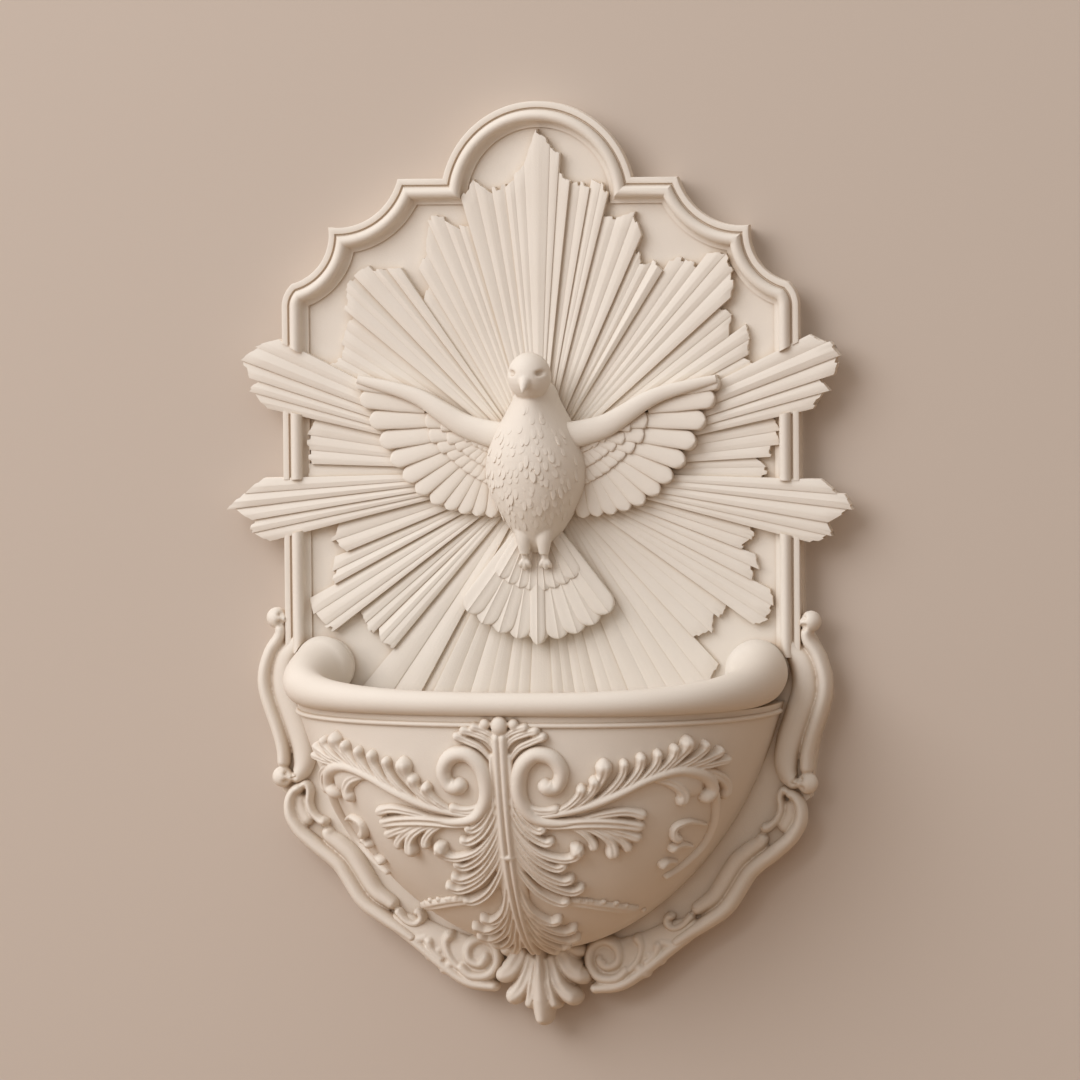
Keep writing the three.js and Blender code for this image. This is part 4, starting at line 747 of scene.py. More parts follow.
def tail_feathers():
    spots = []
    for count, long, wide, top, spread in TAIL_ROWS:
        for angle in np.linspace(-TAIL_SPREAD, TAIL_SPREAD, count) * spread:
            turn = (0, TAIL_ROLL * np.sign(-angle), math.pi + math.radians(angle))
            reach = long * (1 + 0.05 * math.cos(math.radians(angle * 2)))
            spots.append(((*TAIL_ROOT, DOVE_FOOT), turn, (wide, reach, top - DOVE_FOOT)))
    return spots


tail = copies("tail_cast", feather_shape(0.12, 0.05), tail_feathers(), plaster)
settle(tail, plaster, ["tail"], crease=50)

# Feet: short shanks that come out under the body, each with three toes drawn back against the tail;
# cast in one with the shank and bedded on the tail.
SHANK = [(5.8, -36, 29), (5.6, -39, 29.2), (5.4, -42, 28.4), (5.2, -45, 27.4)]
SHANK_RADII = [2.2, 2.1, 1.9, 1.8]
TOES = [(-2.4, -4.6), (0.3, -6), (2.9, -4.6)]
TOE_RADII = (1.6, 1.3, 0.6)
foot_run = np.linspace(0, 1, 14)
foot_shells = [tube(spline(SHANK, foot_run), spread_over(SHANK_RADII, foot_run))]
ankle_x, ankle_y, ankle_z = SHANK[-1]
for toe_x, toe_y in TOES:
    knuckle = (ankle_x + toe_x * 0.7, ankle_y + toe_y * 0.5, ankle_z + 0.4)
    toe = [SHANK[-1], knuckle, (ankle_x + toe_x, ankle_y + toe_y, ankle_z - 2)]
    foot_shells.append(tube(spline(toe, foot_run), np.interp(foot_run, (0, 0.7, 1), TOE_RADII)))
for part, shells in both_sides("foot", foot_shells):
    settle(soft_casting(part, shells, voxel=0.4, rounds=3), plaster, [part], SOFT_CREASE)

# Basin bowl: a deep half-round bowl cast solid, with a D-shaped well sunk in its level top for the
# liner; its smooth face carries the carving, and it is screwed on from behind the plate.
BOWL_TOP, BOWL_BOTTOM = -119, -250
BOWL_HALF_WIDTH, BOWL_REACH = 127.5, 106.7
BOWL_TAPER, BOWL_LEAN, BOWL_DROP, BOWL_SQUARENESS = 0.3, 0.15, 2.6, 2.4
LINER_HALF_WIDTH, LINER_BACK, LINER_FRONT = 90, 33.46, 100
LINER_LIP_TOP, LINER_FLOOR, LINER_TAPER, LINER_SQUARENESS = -116.7, -160.7, 0.9, 3
WELL_CLEAR = 1.5


def bowl_size(y):
    """Half width and reach of the bowl at a height."""
    share = np.clip((BOWL_TOP - y) / (BOWL_TOP - BOWL_BOTTOM), 0, 0.9999)
    round_ = np.sqrt(1 - share ** BOWL_DROP)
    return (BOWL_HALF_WIDTH * (1 - BOWL_TAPER * share) * round_,
            BOWL_REACH * (1 - BOWL_LEAN * share) * round_)


def bowl_face(x, y):
    """How far the bowl's face stands off the wall in front of a point on it."""
    half, reach = bowl_size(y)
    across = np.clip(np.abs(x) / half, 0, 0.998)
    return FIELD + reach * (1 - across ** BOWL_SQUARENESS) ** (1 / BOWL_SQUARENESS)


def plan_ring(y, half_width, back, reach, power, foot, count=90):
    """Level section: the front curve from right to left, closed by a straight back."""
    ring = []
    for angle in np.linspace(0, math.pi, count):
        side = math.copysign(abs(math.cos(angle)) ** (2 / power), math.cos(angle))
        ring.append((half_width * side, y, back + reach * max(math.sin(angle), 0) ** (2 / power)))
    return [(half_width, y, foot), *ring, (-half_width, y, foot)]


def liner_ring(y, taper, grow):
    """Level section of the liner grown all round, with its two back corners rounded."""
    middle = (LINER_BACK + LINER_FRONT) / 2
    half = (LINER_FRONT - LINER_BACK) / 2 * taper + grow
    ring = np.array(plan_ring(
        y, LINER_HALF_WIDTH * taper + grow, middle - half, 2 * half, LINER_SQUARENESS, middle - half)[1:-1])
    even = along_line(np.vstack([ring, ring[:1]]), np.linspace(0, 1, 160, endpoint=False))
    return sum(np.roll(even, k, axis=0) for k in range(-3, 4)) / 7


def cut(obj, tools):
    """Cuts other shapes out of a shape; the cutters are used up."""
    for tool in tools:
        saw = obj.modifiers.new("cut", "BOOLEAN")
        saw.operation = "DIFFERENCE"
        saw.solver = "EXACT"
        saw.object = tool
    apply_modifiers(obj)
    for tool in tools:
        bpy.data.objects.remove(tool)


bowl_rings = []
for share in np.sin(np.linspace(0, math.pi / 2, 40)):
    y = BOWL_TOP + (BOWL_BOTTOM - BOWL_TOP) * min(share, 0.997)
    half, reach = bowl_size(y)
    bowl_rings.append(plan_ring(y, half, FIELD, reach, BOWL_SQUARENESS, FIELD - BEDDED))
bowl = shape("basin_bowl_cast", [skin(bowl_rings)])
well = shape("well", [skin([
    liner_ring(LINER_FLOOR - WELL_CLEAR, LINER_TAPER, WELL_CLEAR),
    liner_ring(LINER_LIP_TOP, 1, WELL_CLEAR)])])
cut(bowl, [well])
settle(bowl, plaster, ["basin_bowl"], crease=40)

# Basin rim: a thick roll along the front that swells to a ball at each end, where a collar beds it
# on the plate; cast with the bowl. A thin bead follows just below it.
RIM_BASE = -118.7
RIM_RADIUS, RIM_END_RADIUS, RIM_HALF_WIDTH, RIM_FRONT, RIM_END = 6, 16.5, 132, 117, 23.5
RIM_LIFT, RIM_SWELL = 0.96, 0.55  # share of the radius above the base, and how fast it swells
RIM_COLLAR = [  # height off the wall, share of the ball's radius
    (9.5, 0.9), (12.6, 0.92), (13.5, 0.9), (14, 0.84), (14.5, 0.82), (15, 0.84), (16.4, 0.9), (18, 0.945),
    (20, 0.98), (22, 0.995)]
BEAD_RADIUS, BEAD_Y, BEAD_PROUD = 1.3, -123.5, 0.6


def rim_station(angle):
    front = max(math.sin(angle), 0)
    radius = RIM_END_RADIUS + (RIM_RADIUS - RIM_END_RADIUS) * min(1, front ** RIM_SWELL)
    power = 2 / BOWL_SQUARENESS
    side = math.copysign(abs(math.cos(angle)) ** power, math.cos(angle))
    centre = ((RIM_HALF_WIDTH - radius) * side, RIM_BASE + RIM_LIFT * radius,
              RIM_END + (RIM_FRONT - RIM_END) * front ** power)
    return np.array(centre), radius


def rim_end(side):
    """Ball end of the rim and its collar, from the plate outwards."""
    centre, radius = rim_station(0)
    return [(np.array((side * centre[0], centre[1], z)), radius * share) for z, share in RIM_COLLAR]


rim_stations = [*rim_end(1), *[rim_station(a) for a in np.linspace(0, math.pi, 150)], *rim_end(-1)[::-1]]
rim_rings = []
for i, (centre, radius) in enumerate(rim_stations):
    way = rim_stations[min(i + 1, len(rim_stations) - 1)][0] - rim_stations[max(i - 1, 0)][0]
    across = np.array((way[2], 0, -way[0])) / math.hypot(way[0], way[2])
    ring = []
    for angle in np.linspace(0, 2 * math.pi, 40, endpoint=False):
        p = centre + across * radius * math.cos(angle) + (0, radius * math.sin(angle), 0)
        ring.append((p[0], max(p[1], RIM_BASE - BEDDED), p[2]))
    rim_rings.append(ring)
cast("basin_rim", [skin(rim_rings)], crease=50)


def bead_tree():
    """Round bead run along the edges of a line."""
    tree, given = new_tree("bead_along_line", Radius="Float")
    line = node(tree, "GeometryNodeMeshToCurve", {"Mesh": given["Geometry"]})["Curve"]
    section = node(tree, "GeometryNodeCurvePrimitiveCircle", {
        "Resolution": 12, "Radius": given["Radius"]})["Curve"]
    swept = node(tree, "GeometryNodeCurveToMesh", {
        "Curve": line, "Profile Curve": section, "Fill Caps": True})["Mesh"]
    end_tree(tree, swept, given["Finish"])
    return tree


bead_half, bead_reach = bowl_size(BEAD_Y)
bead_line = plan_ring(
    BEAD_Y, bead_half + BEAD_PROUD, FIELD, bead_reach + BEAD_PROUD, BOWL_SQUARENESS, FIELD, 140)[3:-3]
bead = add_mesh("rim_bead_cast", bead_line, [(i, i + 1) for i in range(len(bead_line) - 1)])
run_tree(bead, bead_tree(), Radius=BEAD_RADIUS, Finish=plaster)
settle(bead, plaster, ["rim_bead"])

# Water liner: a loose slip-cast cup of cream glazed earthenware whose flat lip hangs on the edge of
# the well, so that it lifts out for cleaning. Its glaze is pooled and speckled.
LIP_WIDE, LIP_UNDER, LINER_WALL = 6, -118.7, 2


def glazed_earthenware(name):
    """Cream earthenware glaze: glossy, slightly uneven, speckled, and browner where it runs thin."""
    pool_mm, speck_mm = 18, 2.5
    material, tree, shader = new_finish(name)
    place = node(tree, "ShaderNodeTexCoord")["Object"]
    pool = node(tree, "ShaderNodeTexNoise", {"Vector": place, "Scale": 1000 / pool_mm, "Detail": 3.0})["Fac"]
    glaze = node(tree, "ShaderNodeMixRGB", {
        "Fac": pool, "Color1": linear("d6cbbb"), "Color2": linear("e4dcd0")})["Color"]
    speck = node(tree, "ShaderNodeTexVoronoi", {"Vector": place, "Scale": 1000 / speck_mm})["Distance"]
    mark = node(tree, "ShaderNodeMapRange", {"Value": speck, "From Min": 0.05, "From Max": 0.12})["Result"]
    colour = node(tree, "ShaderNodeMixRGB", {
        "Fac": mark, "Color1": linear("b79f83"), "Color2": glaze})["Color"]
    ripple = node(tree, "ShaderNodeBump", {"Strength": 0.1, "Distance": 0.0005, "Height": pool})["Normal"]
    connect(tree, shader, {"Base Color": colour, "Normal": ripple, "Roughness": 0.22, "IOR": 1.52})
    return material


LINER_LEVELS = [  # height, taper, growth; up the outside, over the lip and down the inside
    (LINER_FLOOR, LINER_TAPER, -3), (LINER_FLOOR + 0.6, LINER_TAPER, -0.8),
    (LINER_FLOOR + 3, LINER_TAPER + 0.005, 0), (LIP_UNDER - 1, 0.997, 0), (LIP_UNDER, 1, 0.6),
    (LIP_UNDER, 1, LIP_WIDE - 0.7), (LIP_UNDER + 0.4, 1, LIP_WIDE - 0.1), (LIP_UNDER + 1, 1, LIP_WIDE),
    (LIP_UNDER + 1.6, 1, LIP_WIDE - 0.1), (LINER_LIP_TOP, 1, LIP_WIDE - 0.7),
    (LINER_LIP_TOP, 1, 1 - LINER_WALL), (LINER_LIP_TOP - 0.5, 1, 0.2 - LINER_WALL),
    (LINER_LIP_TOP - 2, 0.997, -LINER_WALL), (LINER_FLOOR + LINER_WALL + 5, LINER_TAPER + 0.012, -LINER_WALL),
    (LINER_FLOOR + LINER_WALL + 1.4, LINER_TAPER, -3.2), (LINER_FLOOR + LINER_WALL, LINER_TAPER, -7)]
liner = shape("water_liner_glazed", [skin([liner_ring(*level) for level in LINER_LEVELS])])
settle(liner, glazed_earthenware("cream_glazed_earthenware"), ["water_liner"], 50, "liner")

# Acanthus carving: a stem with a palm of curling leaves, a volute, a branch with a sprig and a long
# leaf on each side, cast as fine round fingers with beaded tips and stuck to the face of the bowl.
LEAF_SINK = 1.6


def finger(path, halves, highs, surface, tip=1.0, count=26, groove=0.0):
    """Round-backed finger of carving along (x, y) points of a surface, with a swollen tip."""
    share = (1 - np.cos(np.linspace(0, math.pi, count))) / 2
    flat = spline(path, share)
    long = np.sum(np.linalg.norm(np.diff(flat, axis=0), axis=1))
    left = long * (1 - share)
    knob = halves[-1] * tip
    swell = 1 + (tip - 1) * np.exp(-((left - knob) / knob) ** 2)
    end = np.sqrt(np.clip(1 - np.clip(1 - left / knob, 0, 1) ** 2, 0.01, 1))
    start = np.sqrt(np.clip(1 - np.clip(1 - long * share / halves[0], 0, 1) ** 2, 0.01, 1))
    half = spread_over(halves, share) * swell * end * start
    high = spread_over(highs, share) * (1 + 0.6 * (swell - 1)) * end * start
    x, y = flat[:, 0], flat[:, 1]
    centre = np.column_stack([x, y, surface(x, y)])
    step = 0.5
    slope_x = (surface(x + step, y) - surface(x - step, y)) / (2 * step)
    slope_y = (surface(x, y + step) - surface(x, y - step)) / (2 * step)
    normal = unit(np.column_stack([-slope_x, -slope_y, np.ones_like(x)]))
    across = unit(np.cross(normal, np.gradient(centre, axis=0)))
    turn = np.linspace(0, math.pi, 19)
    vein = groove * np.clip(left / (3 * knob), 0, 1) * np.clip(4 * share, 0, 1)
    arch = np.sin(turn) * (1 - vein[:, None] * np.exp(-(np.cos(turn) / 0.3) ** 2))
    top = (centre[:, None] + across[:, None] * (half[:, None] * np.cos(turn))[:, :, None]
           + normal[:, None] * (high[:, None] * arch)[:, :, None])
    feet = [centre + across * (side * 0.85 * half)[:, None] - normal * LEAF_SINK for side in (-1, 1)]
    return skin(np.concatenate([top, feet[0][:, None], feet[1][:, None]], axis=1))


def leaf(*path, half=2.9, high=4.2, tip=1.15, root=0.45, groove=0.3):
    """Finger on the bowl that swells from its root and ends in a rounded tip."""
    halves = (half * root, half * 0.8, half, half * 0.95)
    return finger(path, halves, (high * 0.5, high, high), bowl_face, tip, 30, groove)


PALM_LEAVES = [  # x and y of the tip, y where it leaves the stem, rise of the tip, how late it turns out
    (21, -176.4, -154, 2, 1), (24.5, -183, -161, 1.6, 1), (29.5, -196.4, -172, 2.4, 1),
    (32, -203.6, -179, 2, 1), (36, -209.4, -185.5, 2.6, 1), (28, -215.4, -192, 1.4, 1),
    (21.5, -226.4, -197, 1.6, 1.7), (27.5, -232.4, -203, 2.4, 1.6), (27, -238, -210, 2.2, 1.5),
    (20.5, -242, -217, 1.6, 1.4), (13, -245, -225, 1, 1.2)]


def palm_leaf(tip_x, tip_y, root_y, rise, late):
    """Leaf that runs down beside the stem, then sweeps out and lifts its tip."""
    sweep = [(2.2 + (tip_x - 2.2) * out ** late, root_y + (tip_y - root_y) * down)
             for out, down in ((0, 0), (0.16, 0.42), (0.44, 0.82), (0.78, 1.03))]
    return leaf(*sweep, (tip_x, tip_y + rise), half=2.7, high=5, tip=1.1, root=0.5, groove=0.5)


crumb_chance = random.Random(3)
palm_crumbs = []
for share in np.linspace(0.1, 1, 16):
    crumb_x = 27 + 31 * share
    crumb_y = -215 - 9 * share + crumb_chance.uniform(-3.6, 3.6) * (1.15 - share * 0.7)
    palm_crumbs.append(ball((crumb_x, crumb_y, bowl_face(crumb_x, crumb_y) + 0.6), (1.9, 1.7, 2.2), 10))
palm_right = [
    finger([(1.7, -127), (1.7, -168), (1.6, -214), (1.2, -248)], (2.6, 2.1, 1.9, 1.8), (5.2, 4.6, 4.6, 4.6),
           bowl_face, 1, 40),
    finger([(4.6, -137.5), (5.4, -154), (4.8, -170)], (1.4, 1.9, 1.4), (3, 4, 3), bowl_face),
    *[palm_leaf(*place) for place in PALM_LEAVES],
    leaf((1, -138.5), (6, -131), (13, -127.5), (21, -125.4), half=2.1, tip=1.3),
    leaf((2.5, -145), (9, -135.5), (16.5, -131.5), (24.5, -128), half=2.1, tip=1.3),
    leaf((1, -134.5), (4, -128.5), (9, -125.5), (15.5, -123.4), half=2.0, tip=1.3),
    leaf((2.2, -169), (6.5, -179), (15, -188), (25, -192), (32, -191.6), (35.2, -187.6), (32, -184.6),
         half=2.4, high=5.2, tip=1.8),
    leaf((2.2, -196), (10, -208), (22, -215.4), (38, -219), (56, -224), half=3.6, high=2.8, tip=1),
    *palm_crumbs,
]
finial = [
    finger([(0, -156), (0, -185), (0, -215), (0, -246)], (5, 9, 7, 6), (3, 3, 3, 3), bowl_face, 1, 40),
    ball((0, -123.6, bowl_face(0, -123.6) + 1.6), (4.4, 5.2, 4.2)),
    *[ball((side * 7.4, -122.8, bowl_face(7.4, -122.8) + 1.6), (2.8, 3, 2.8)) for side in (1, -1)],
    ball((0, -192.6, bowl_face(0, -192.6) + 2.6), (4, 1.8, 3)),
]
palm_shells = [*finial, *palm_right, *[mirrored(s) for s in palm_right]]
palm = soft_casting("acanthus_palm", palm_shells, voxel=0.42, rounds=2, kept=0.4)
settle(palm, plaster, ["acanthus_palm"], SOFT_CREASE)

VOLUTE = [
    (38.6, -172.2), (26.1, -173.2), (14.5, -170.2), (8.5, -159.9), (9.5, -146.6), (16.9, -138.4),
    (25.6, -139.5), (30.3, -146.6), (28, -154.3), (22.8, -154.6), (21.6, -150.2)]
BRANCH_LEAVES = [  # root, tip, half width and swell of the tip
    (23.2, -169.7, 40.1, -152.8, 2.1, 1.5), (28, -169.1, 46.8, -148.7, 2.2, 1.5),
    (32.8, -168.1, 51.7, -140, 2.6, 1.8), (40.6, -165.6, 61.3, -140.5, 2.3, 1.2),
    (48.3, -163, 69.5, -137.4, 2.4, 1.25), (56, -158.9, 77.3, -135.9, 2.3, 1.2),
    (63.8, -154.8, 85, -133.3, 2.3, 1.25), (70.5, -151.2, 90.8, -129.2, 2.5, 1.7),
    (77.3, -148.7, 98.5, -132.3, 2.3, 1.2), (83.1, -147.1, 104.3, -135.9, 2.3, 1.2),
    (88, -147, 107.4, -141.5, 2.2, 1.2)]


def branch_leaf(x, y, tip_x, tip_y, half, tip):
    """Leaflet that leaves along the branch and bends up to its tip."""
    bend = [(x + (tip_x - x) * along, y + (tip_y - y) * up)
            for along, up in ((0, 0), (0.56, 0.31), (0.93, 0.67), (1, 1))]
    return leaf(*bend, half=half, high=4.8, tip=tip)


SIDE_CARVING = {
    "acanthus_volute": [
        finger(VOLUTE, (2, 3, 4, 4.6, 4.4, 4, 3.2), (3.4, 4.8, 5.6, 6, 5.6, 5.4, 5), bowl_face, 1.4, 80),
        leaf((8.7, -157.9), (13.5, -165.6), (21.2, -167.6), (29, -165.6), half=2.4, high=3.6),
    ],
    "acanthus_branch": [
        finger([(13.5, -170.7), (27, -168.6), (42.5, -164.5), (58, -157.9), (72.4, -150.7), (86, -147.1),
                (96.6, -150.7), (99, -158.9), (93.2, -164.5)],
               (1.4, 2.4, 3, 3, 3.2, 3.6, 3.4), (2.8, 4.2, 5, 5, 5, 4.8), bowl_face, 1.3, 60),
        finger([(78, -150), (88, -154), (95, -160)], (4, 7, 5), (2.4, 2.8, 2.4), bowl_face),
        *[branch_leaf(*place) for place in BRANCH_LEAVES],
        leaf((74, -151.5), (83, -154.2), (87, -160), (84.5, -166.6), half=3.2, tip=1.25, root=0.6),
        leaf((90.8, -147.7), (100, -150), (104.6, -156.6), (102.6, -165.1), half=3.2, tip=1.25, root=0.6),
        finger([(97, -150.4), (100, -160.4), (97.6, -175.6), (90.4, -189.8), (79.4, -200.9), (71.5, -206)],
               (2, 2.6, 2.4, 2.2, 1.6), (3, 3.8, 3.4, 3, 2.6), bowl_face, 1.1, 44),
        leaf((94.6, -178.6), (88, -175.4), (81.6, -177.4), (80.2, -182.4), (83.2, -184.6), half=1.9, tip=1.5),
        leaf((87, -189.8), (81.4, -187.6), (76.4, -190.4), half=2.1, tip=1.3),
        leaf((79.4, -197.6), (74.6, -196.4), (70.8, -199.4), half=1.9, tip=1.3),
    ],
    "acanthus_leaf": [
        finger([(9.7, -173.8), (25.1, -174.3), (40.6, -173.2), (54.1, -173.8), (68.6, -176.3)],
               (1.6, 2.8, 3.4, 3.4, 2.8), (3, 4.4, 5, 4.8, 4.2), bowl_face, 1.15, 40, 0.4),
        leaf((34, -173.2), (48, -169.4), (60, -168), (70, -170.6), half=2.5, tip=1.2),
        leaf((44, -174.8), (56, -178.6), (66.4, -182.6), half=2.6, tip=1.25),
        leaf((38.6, -174.3), (50, -178), (57.6, -184), (59.6, -189.6), half=2.4, tip=1.3),
        leaf((34, -174.3), (45, -177.8), (51.6, -184), (51, -193), half=2.6, high=4.8, tip=1.6),
        leaf((29, -174.3), (38, -177.8), (43, -183.5), (42.6, -188.6), half=2.3, tip=1.3),
    ],
}
for carving_name, carving_shells in SIDE_CARVING.items():
    for part, shells in both_sides(carving_name, carving_shells):
        settle(soft_casting(part, shells, voxel=0.42, rounds=2, kept=0.45), plaster, [part], SOFT_CREASE)

# Scroll surround: a thin outer roll and a broad inner one that curl at each end and frame the bowl,
# with a volute below on each side and a leaf pendant where the two meet; cast and bedded on the plate.
UPPER_OUTER = [
    (139.8, -80), (140.4, -87), (145.6, -95.3), (148.8, -105.4), (148.9, -114.7), (146, -125.3),
    (142.2, -136.4), (139.6, -147), (139.2, -157)]
UPPER_INNER = [
    (130.4, -86), (132.4, -92.4), (137, -98.6), (138.8, -107), (138, -116.5), (134.2, -127.6),
    (130.6, -138.2), (128.4, -148), (129, -156), (132.2, -161), (135.6, -160.4)]
UPPER_KNOBS = [(142, -77.6, 5.6), (139.8, -161.4, 5.6)]  # x, y, radius
LOWER_SCROLL = [  # share of the bowl's depth, and how far outside the bowl it runs there
    (0.434, 30.5), (0.492, 38.6), (0.56, 40.3), (0.629, 37), (0.697, 33.7), (0.775, 37.7), (0.853, 43.1),
    (0.922, 45.3)]
LOWER_HEAD = [(128.6, -166.2), (133.6, -168.8), (136.2, -174.6), (135.8, -181.4)]
LOWER_TENDRIL = [
    (131, -167.6), (127.6, -165), (125.4, -168), (125.8, -175), (123.6, -180.6), (118.8, -184.6),
    (114.8, -184.4)]
LOWER_VOLUTE = [
    (46, -258), (39, -264.5), (29.5, -264), (24.6, -257), (26, -248.5), (33, -245), (39.6, -249),
    (39.6, -256), (34, -258.4), (30.8, -254.8), (33, -252.2)]
KNOB_EYES = ((-3, 2.4), (-2.6, -2.4), (-6.8, 0))  # pressed in beside the knob's centre
KNOB_EYE_REACH, KNOB_EYE_DEPTH = (1.4, 1.4, 4), 1.8


def on_plate(x, y):
    return np.full_like(np.asarray(x, float), FIELD)


def beside(path, inwards):
    """Path of a scroll moved towards the bowl."""
    line = spline(path, np.linspace(0, 1, 14))
    along = unit(np.gradient(line, axis=0))
    return line + np.column_stack([along[:, 1], -along[:, 0]]) * inwards


def roll(*path, halves=(3, 3), high=8, tip=1.0, count=60):
    """Round roll of the surround along points on the plate."""
    return finger(path, halves, (high, high), on_plate, tip, count)


def knob(x, y, radius):
    """Rounded end that a roll winds up into, with the eye of the curl beside it."""
    eye = ball((x - 4.7, y - 0.4, FIELD + 5), (1.9, 1.9, 2.6), 12)
    return [ball((x, y, FIELD + 2.6), (radius, radius, 6.4), 24), eye]


lower_path = []
for share, outside in LOWER_SCROLL:
    y = BOWL_TOP + (BOWL_BOTTOM - BOWL_TOP) * share
    lower_path.append((bowl_size(y)[0] + outside, y))
SURROUND = {
    "upper_scroll": [
        roll(*UPPER_OUTER, halves=(3.4, 3.8, 4, 4, 3.8, 3.6), high=8.2),
        roll(*UPPER_INNER, halves=(4.4, 6.8, 7.2, 7.2, 7, 6.2, 3.6), high=7),
        *[shell for place in UPPER_KNOBS for shell in knob(*place)],
    ],
    "lower_scroll": [
        roll(*LOWER_HEAD, *beside(lower_path, 3.9)[2:], (76, -241.4), (68, -247),
             halves=(2.6, 3.6, 4.2, 4.4, 4.4, 4, 3), high=8.4, count=80),
        roll(*LOWER_TENDRIL, halves=(2.2, 2.2, 2.2), high=6.8, tip=1.3),
        roll((130.6, -170), (130.6, -178), (125.6, -187), halves=(3, 4, 4), high=4.4),
        roll((116.4, -187.4), *beside(lower_path, 12.4)[5:], halves=(3.2, 4.6, 4.9, 4.9, 4.4, 3.4), high=7),
        roll((79.6, -230), (74, -236.2), (68.8, -238), (65.4, -235.2), (66.8, -231.8), (69.8, -232.8),
             halves=(2.6, 2.4), high=7),
    ],
    "lower_volute": [
        roll((20, -258), (36, -256), (53, -250.5), (72, -240), (84, -236),
             halves=(9, 11, 10, 8, 4), high=5.6),
        ball((33, -254.4, FIELD), (10.6, 10.6, 6.6), 24),
        roll(*LOWER_VOLUTE, halves=(3.2, 3.4, 3.4, 3), high=8.6, tip=1.25, count=80),
        roll((82, -237.5), (66, -250), (53, -260.5), (40, -268.5), (24, -270.4), halves=(3.2, 3.2), high=7.4),
        *[roll(*path, halves=(3.4, 3.4), high=6.4, tip=1.15) for path in (
            ((60, -244), (68, -246.4), (72.4, -247.6)), ((53, -250), (60.4, -254), (64.4, -255.8)),
            ((46, -255.6), (52.6, -260.6), (56.4, -263)))],
        *[roll(*path, halves=(2.8, 2.8), high=7.4, tip=1.2) for path in (
            ((44, -262), (50, -255), (52, -247), (48, -241.4)), ((53, -258), (60, -250.6), (61.4, -243.4)))],
    ],
}
for scroll_name, scroll_shells in SURROUND.items():
    for part, shells in both_sides(scroll_name, scroll_shells):
        surround = soft_casting(part, shells, voxel=0.5, rounds=3, kept=0.6)
        for knob_x, knob_y, _ in UPPER_KNOBS if scroll_name == "upper_scroll" else []:
            side = 1 if part.endswith("right") else -1
            for eye_x, eye_y in KNOB_EYES:
                eye = (side * (knob_x + eye_x), knob_y + eye_y, FIELD + 7)
                dab(surround.data, eye, KNOB_EYE_REACH, -KNOB_EYE_DEPTH)
        settle(surround, plaster, [part], SOFT_CREASE)

PENDANT_LEAVES = [  # path, half widths, heights, swell of the tip, number of sections, groove
    ([(2.6, -252), (3.6, -264), (5.4, -274), (7.8, -281.4)], (2.6, 3.2, 3.8, 3.4), (15, 18, 13), 1, 36, 0.15),
    ([(4.6, -250), (6.6, -260), (10, -268.5), (15, -274), (20.5, -276)],
     (3.6, 4.6, 5.4, 4.8), (14, 16.4, 12), 1.05, 40, 0.15),
    ([(9, -246.5), (12, -254), (16, -260), (21, -262.6), (25.4, -261)],
     (5, 6.4, 6.4, 5.6), (13, 15.6, 12.4), 1, 40, 0.15),
    ([(11, -247), (18, -249.4), (23.6, -251.6)], (3.6, 4.6, 4), (12, 12.6, 9.4), 1.05, 26, 0)]
pendant_right = [
    finger(path, halves, highs, on_plate, *rest) for path, halves, highs, *rest in PENDANT_LEAVES]
pendant_middle = finger(
    [(0, -246), (0, -262), (0, -277), (0, -290.4)], (3, 3.6, 5.6, 6.4, 4), (17, 19, 17, 12), on_plate, 1, 44)
pendant_shells = [pendant_middle, *pendant_right, *[mirrored(s) for s in pendant_right]]
pendant = soft_casting("pendant_leaf", pendant_shells, voxel=0.45, rounds=2, kept=0.5)
settle(pendant, plaster, ["pendant_leaf"], SOFT_CREASE)

# Hanging hardware and fixings: two pressed keyhole plates sunk in the back, each held by two
# countersunk screws, and longer screws that hold the basin and the dove; zinc-plated mild steel.
HANGER_X, HANGER_Y = (62, -62), 88
HANGER_WIDE, HANGER_TALL, HANGER_THICK, HANGER_SUNK = 16, 44, 2, 0.5
KEYHOLE_RADIUS, KEYHOLE_SLOT, KEYHOLE_RISE = 5, 2.5, 9
HANGER_SCREW_SPACING, HANGER_CORNER = 32, 2
COUNTERSINK = [(4.8, -1), (3.6, HANGER_SUNK), (1.9, 2), (1.9, 4)]  # radius, height
STEEL_CREASE = 30
SCREWS = {  # head radius, shank radius, depth of the head, length, height of the head, spots
    "hanger_screw": (3.2, 1.6, 1.4, 6, HANGER_SUNK, [
        (x, HANGER_Y + side * HANGER_SCREW_SPACING / 2) for x in HANGER_X for side in (1, -1)]),
    "basin_screw": (6, 3, 3, 34, 0.3, [(45, -205), (-45, -205)]),
    "dove_screw": (5, 2.4, 2.6, 34, 0.3, [(0, 20), (0, -20)]),
}


def zinc_plate(name):
    """Bright zinc plating on steel: a soft metal sheen, cloudy, with fine drag marks from the press."""
    cloud_mm, drag_mm = 6, 0.5
    material, tree, shader = new_finish(name)
    place = node(tree, "ShaderNodeTexCoord")["Object"]
    cloud = node(tree, "ShaderNodeTexNoise", {
        "Vector": place, "Scale": 1000 / cloud_mm, "Detail": 4.0})["Fac"]
    colour = node(tree, "ShaderNodeMixRGB", {
        "Fac": cloud, "Color1": linear("a3a6aa"), "Color2": linear("c6c9cc")})["Color"]
    drawn = node(tree, "ShaderNodeMapping", {"Vector": place, "Scale": (1, 1, 0.05)})["Vector"]
    drag = node(tree, "ShaderNodeTexNoise", {"Vector": drawn, "Scale": 1000 / drag_mm})["Fac"]
    dull = node(tree, "ShaderNodeMapRange", {"Value": drag, "To Min": 0.28, "To Max": 0.46})["Result"]
    connect(tree, shader, {"Base Color": colour, "Roughness": dull, "Metallic": 1.0})
    return material


zinc = zinc_plate("zinc_plated_steel")


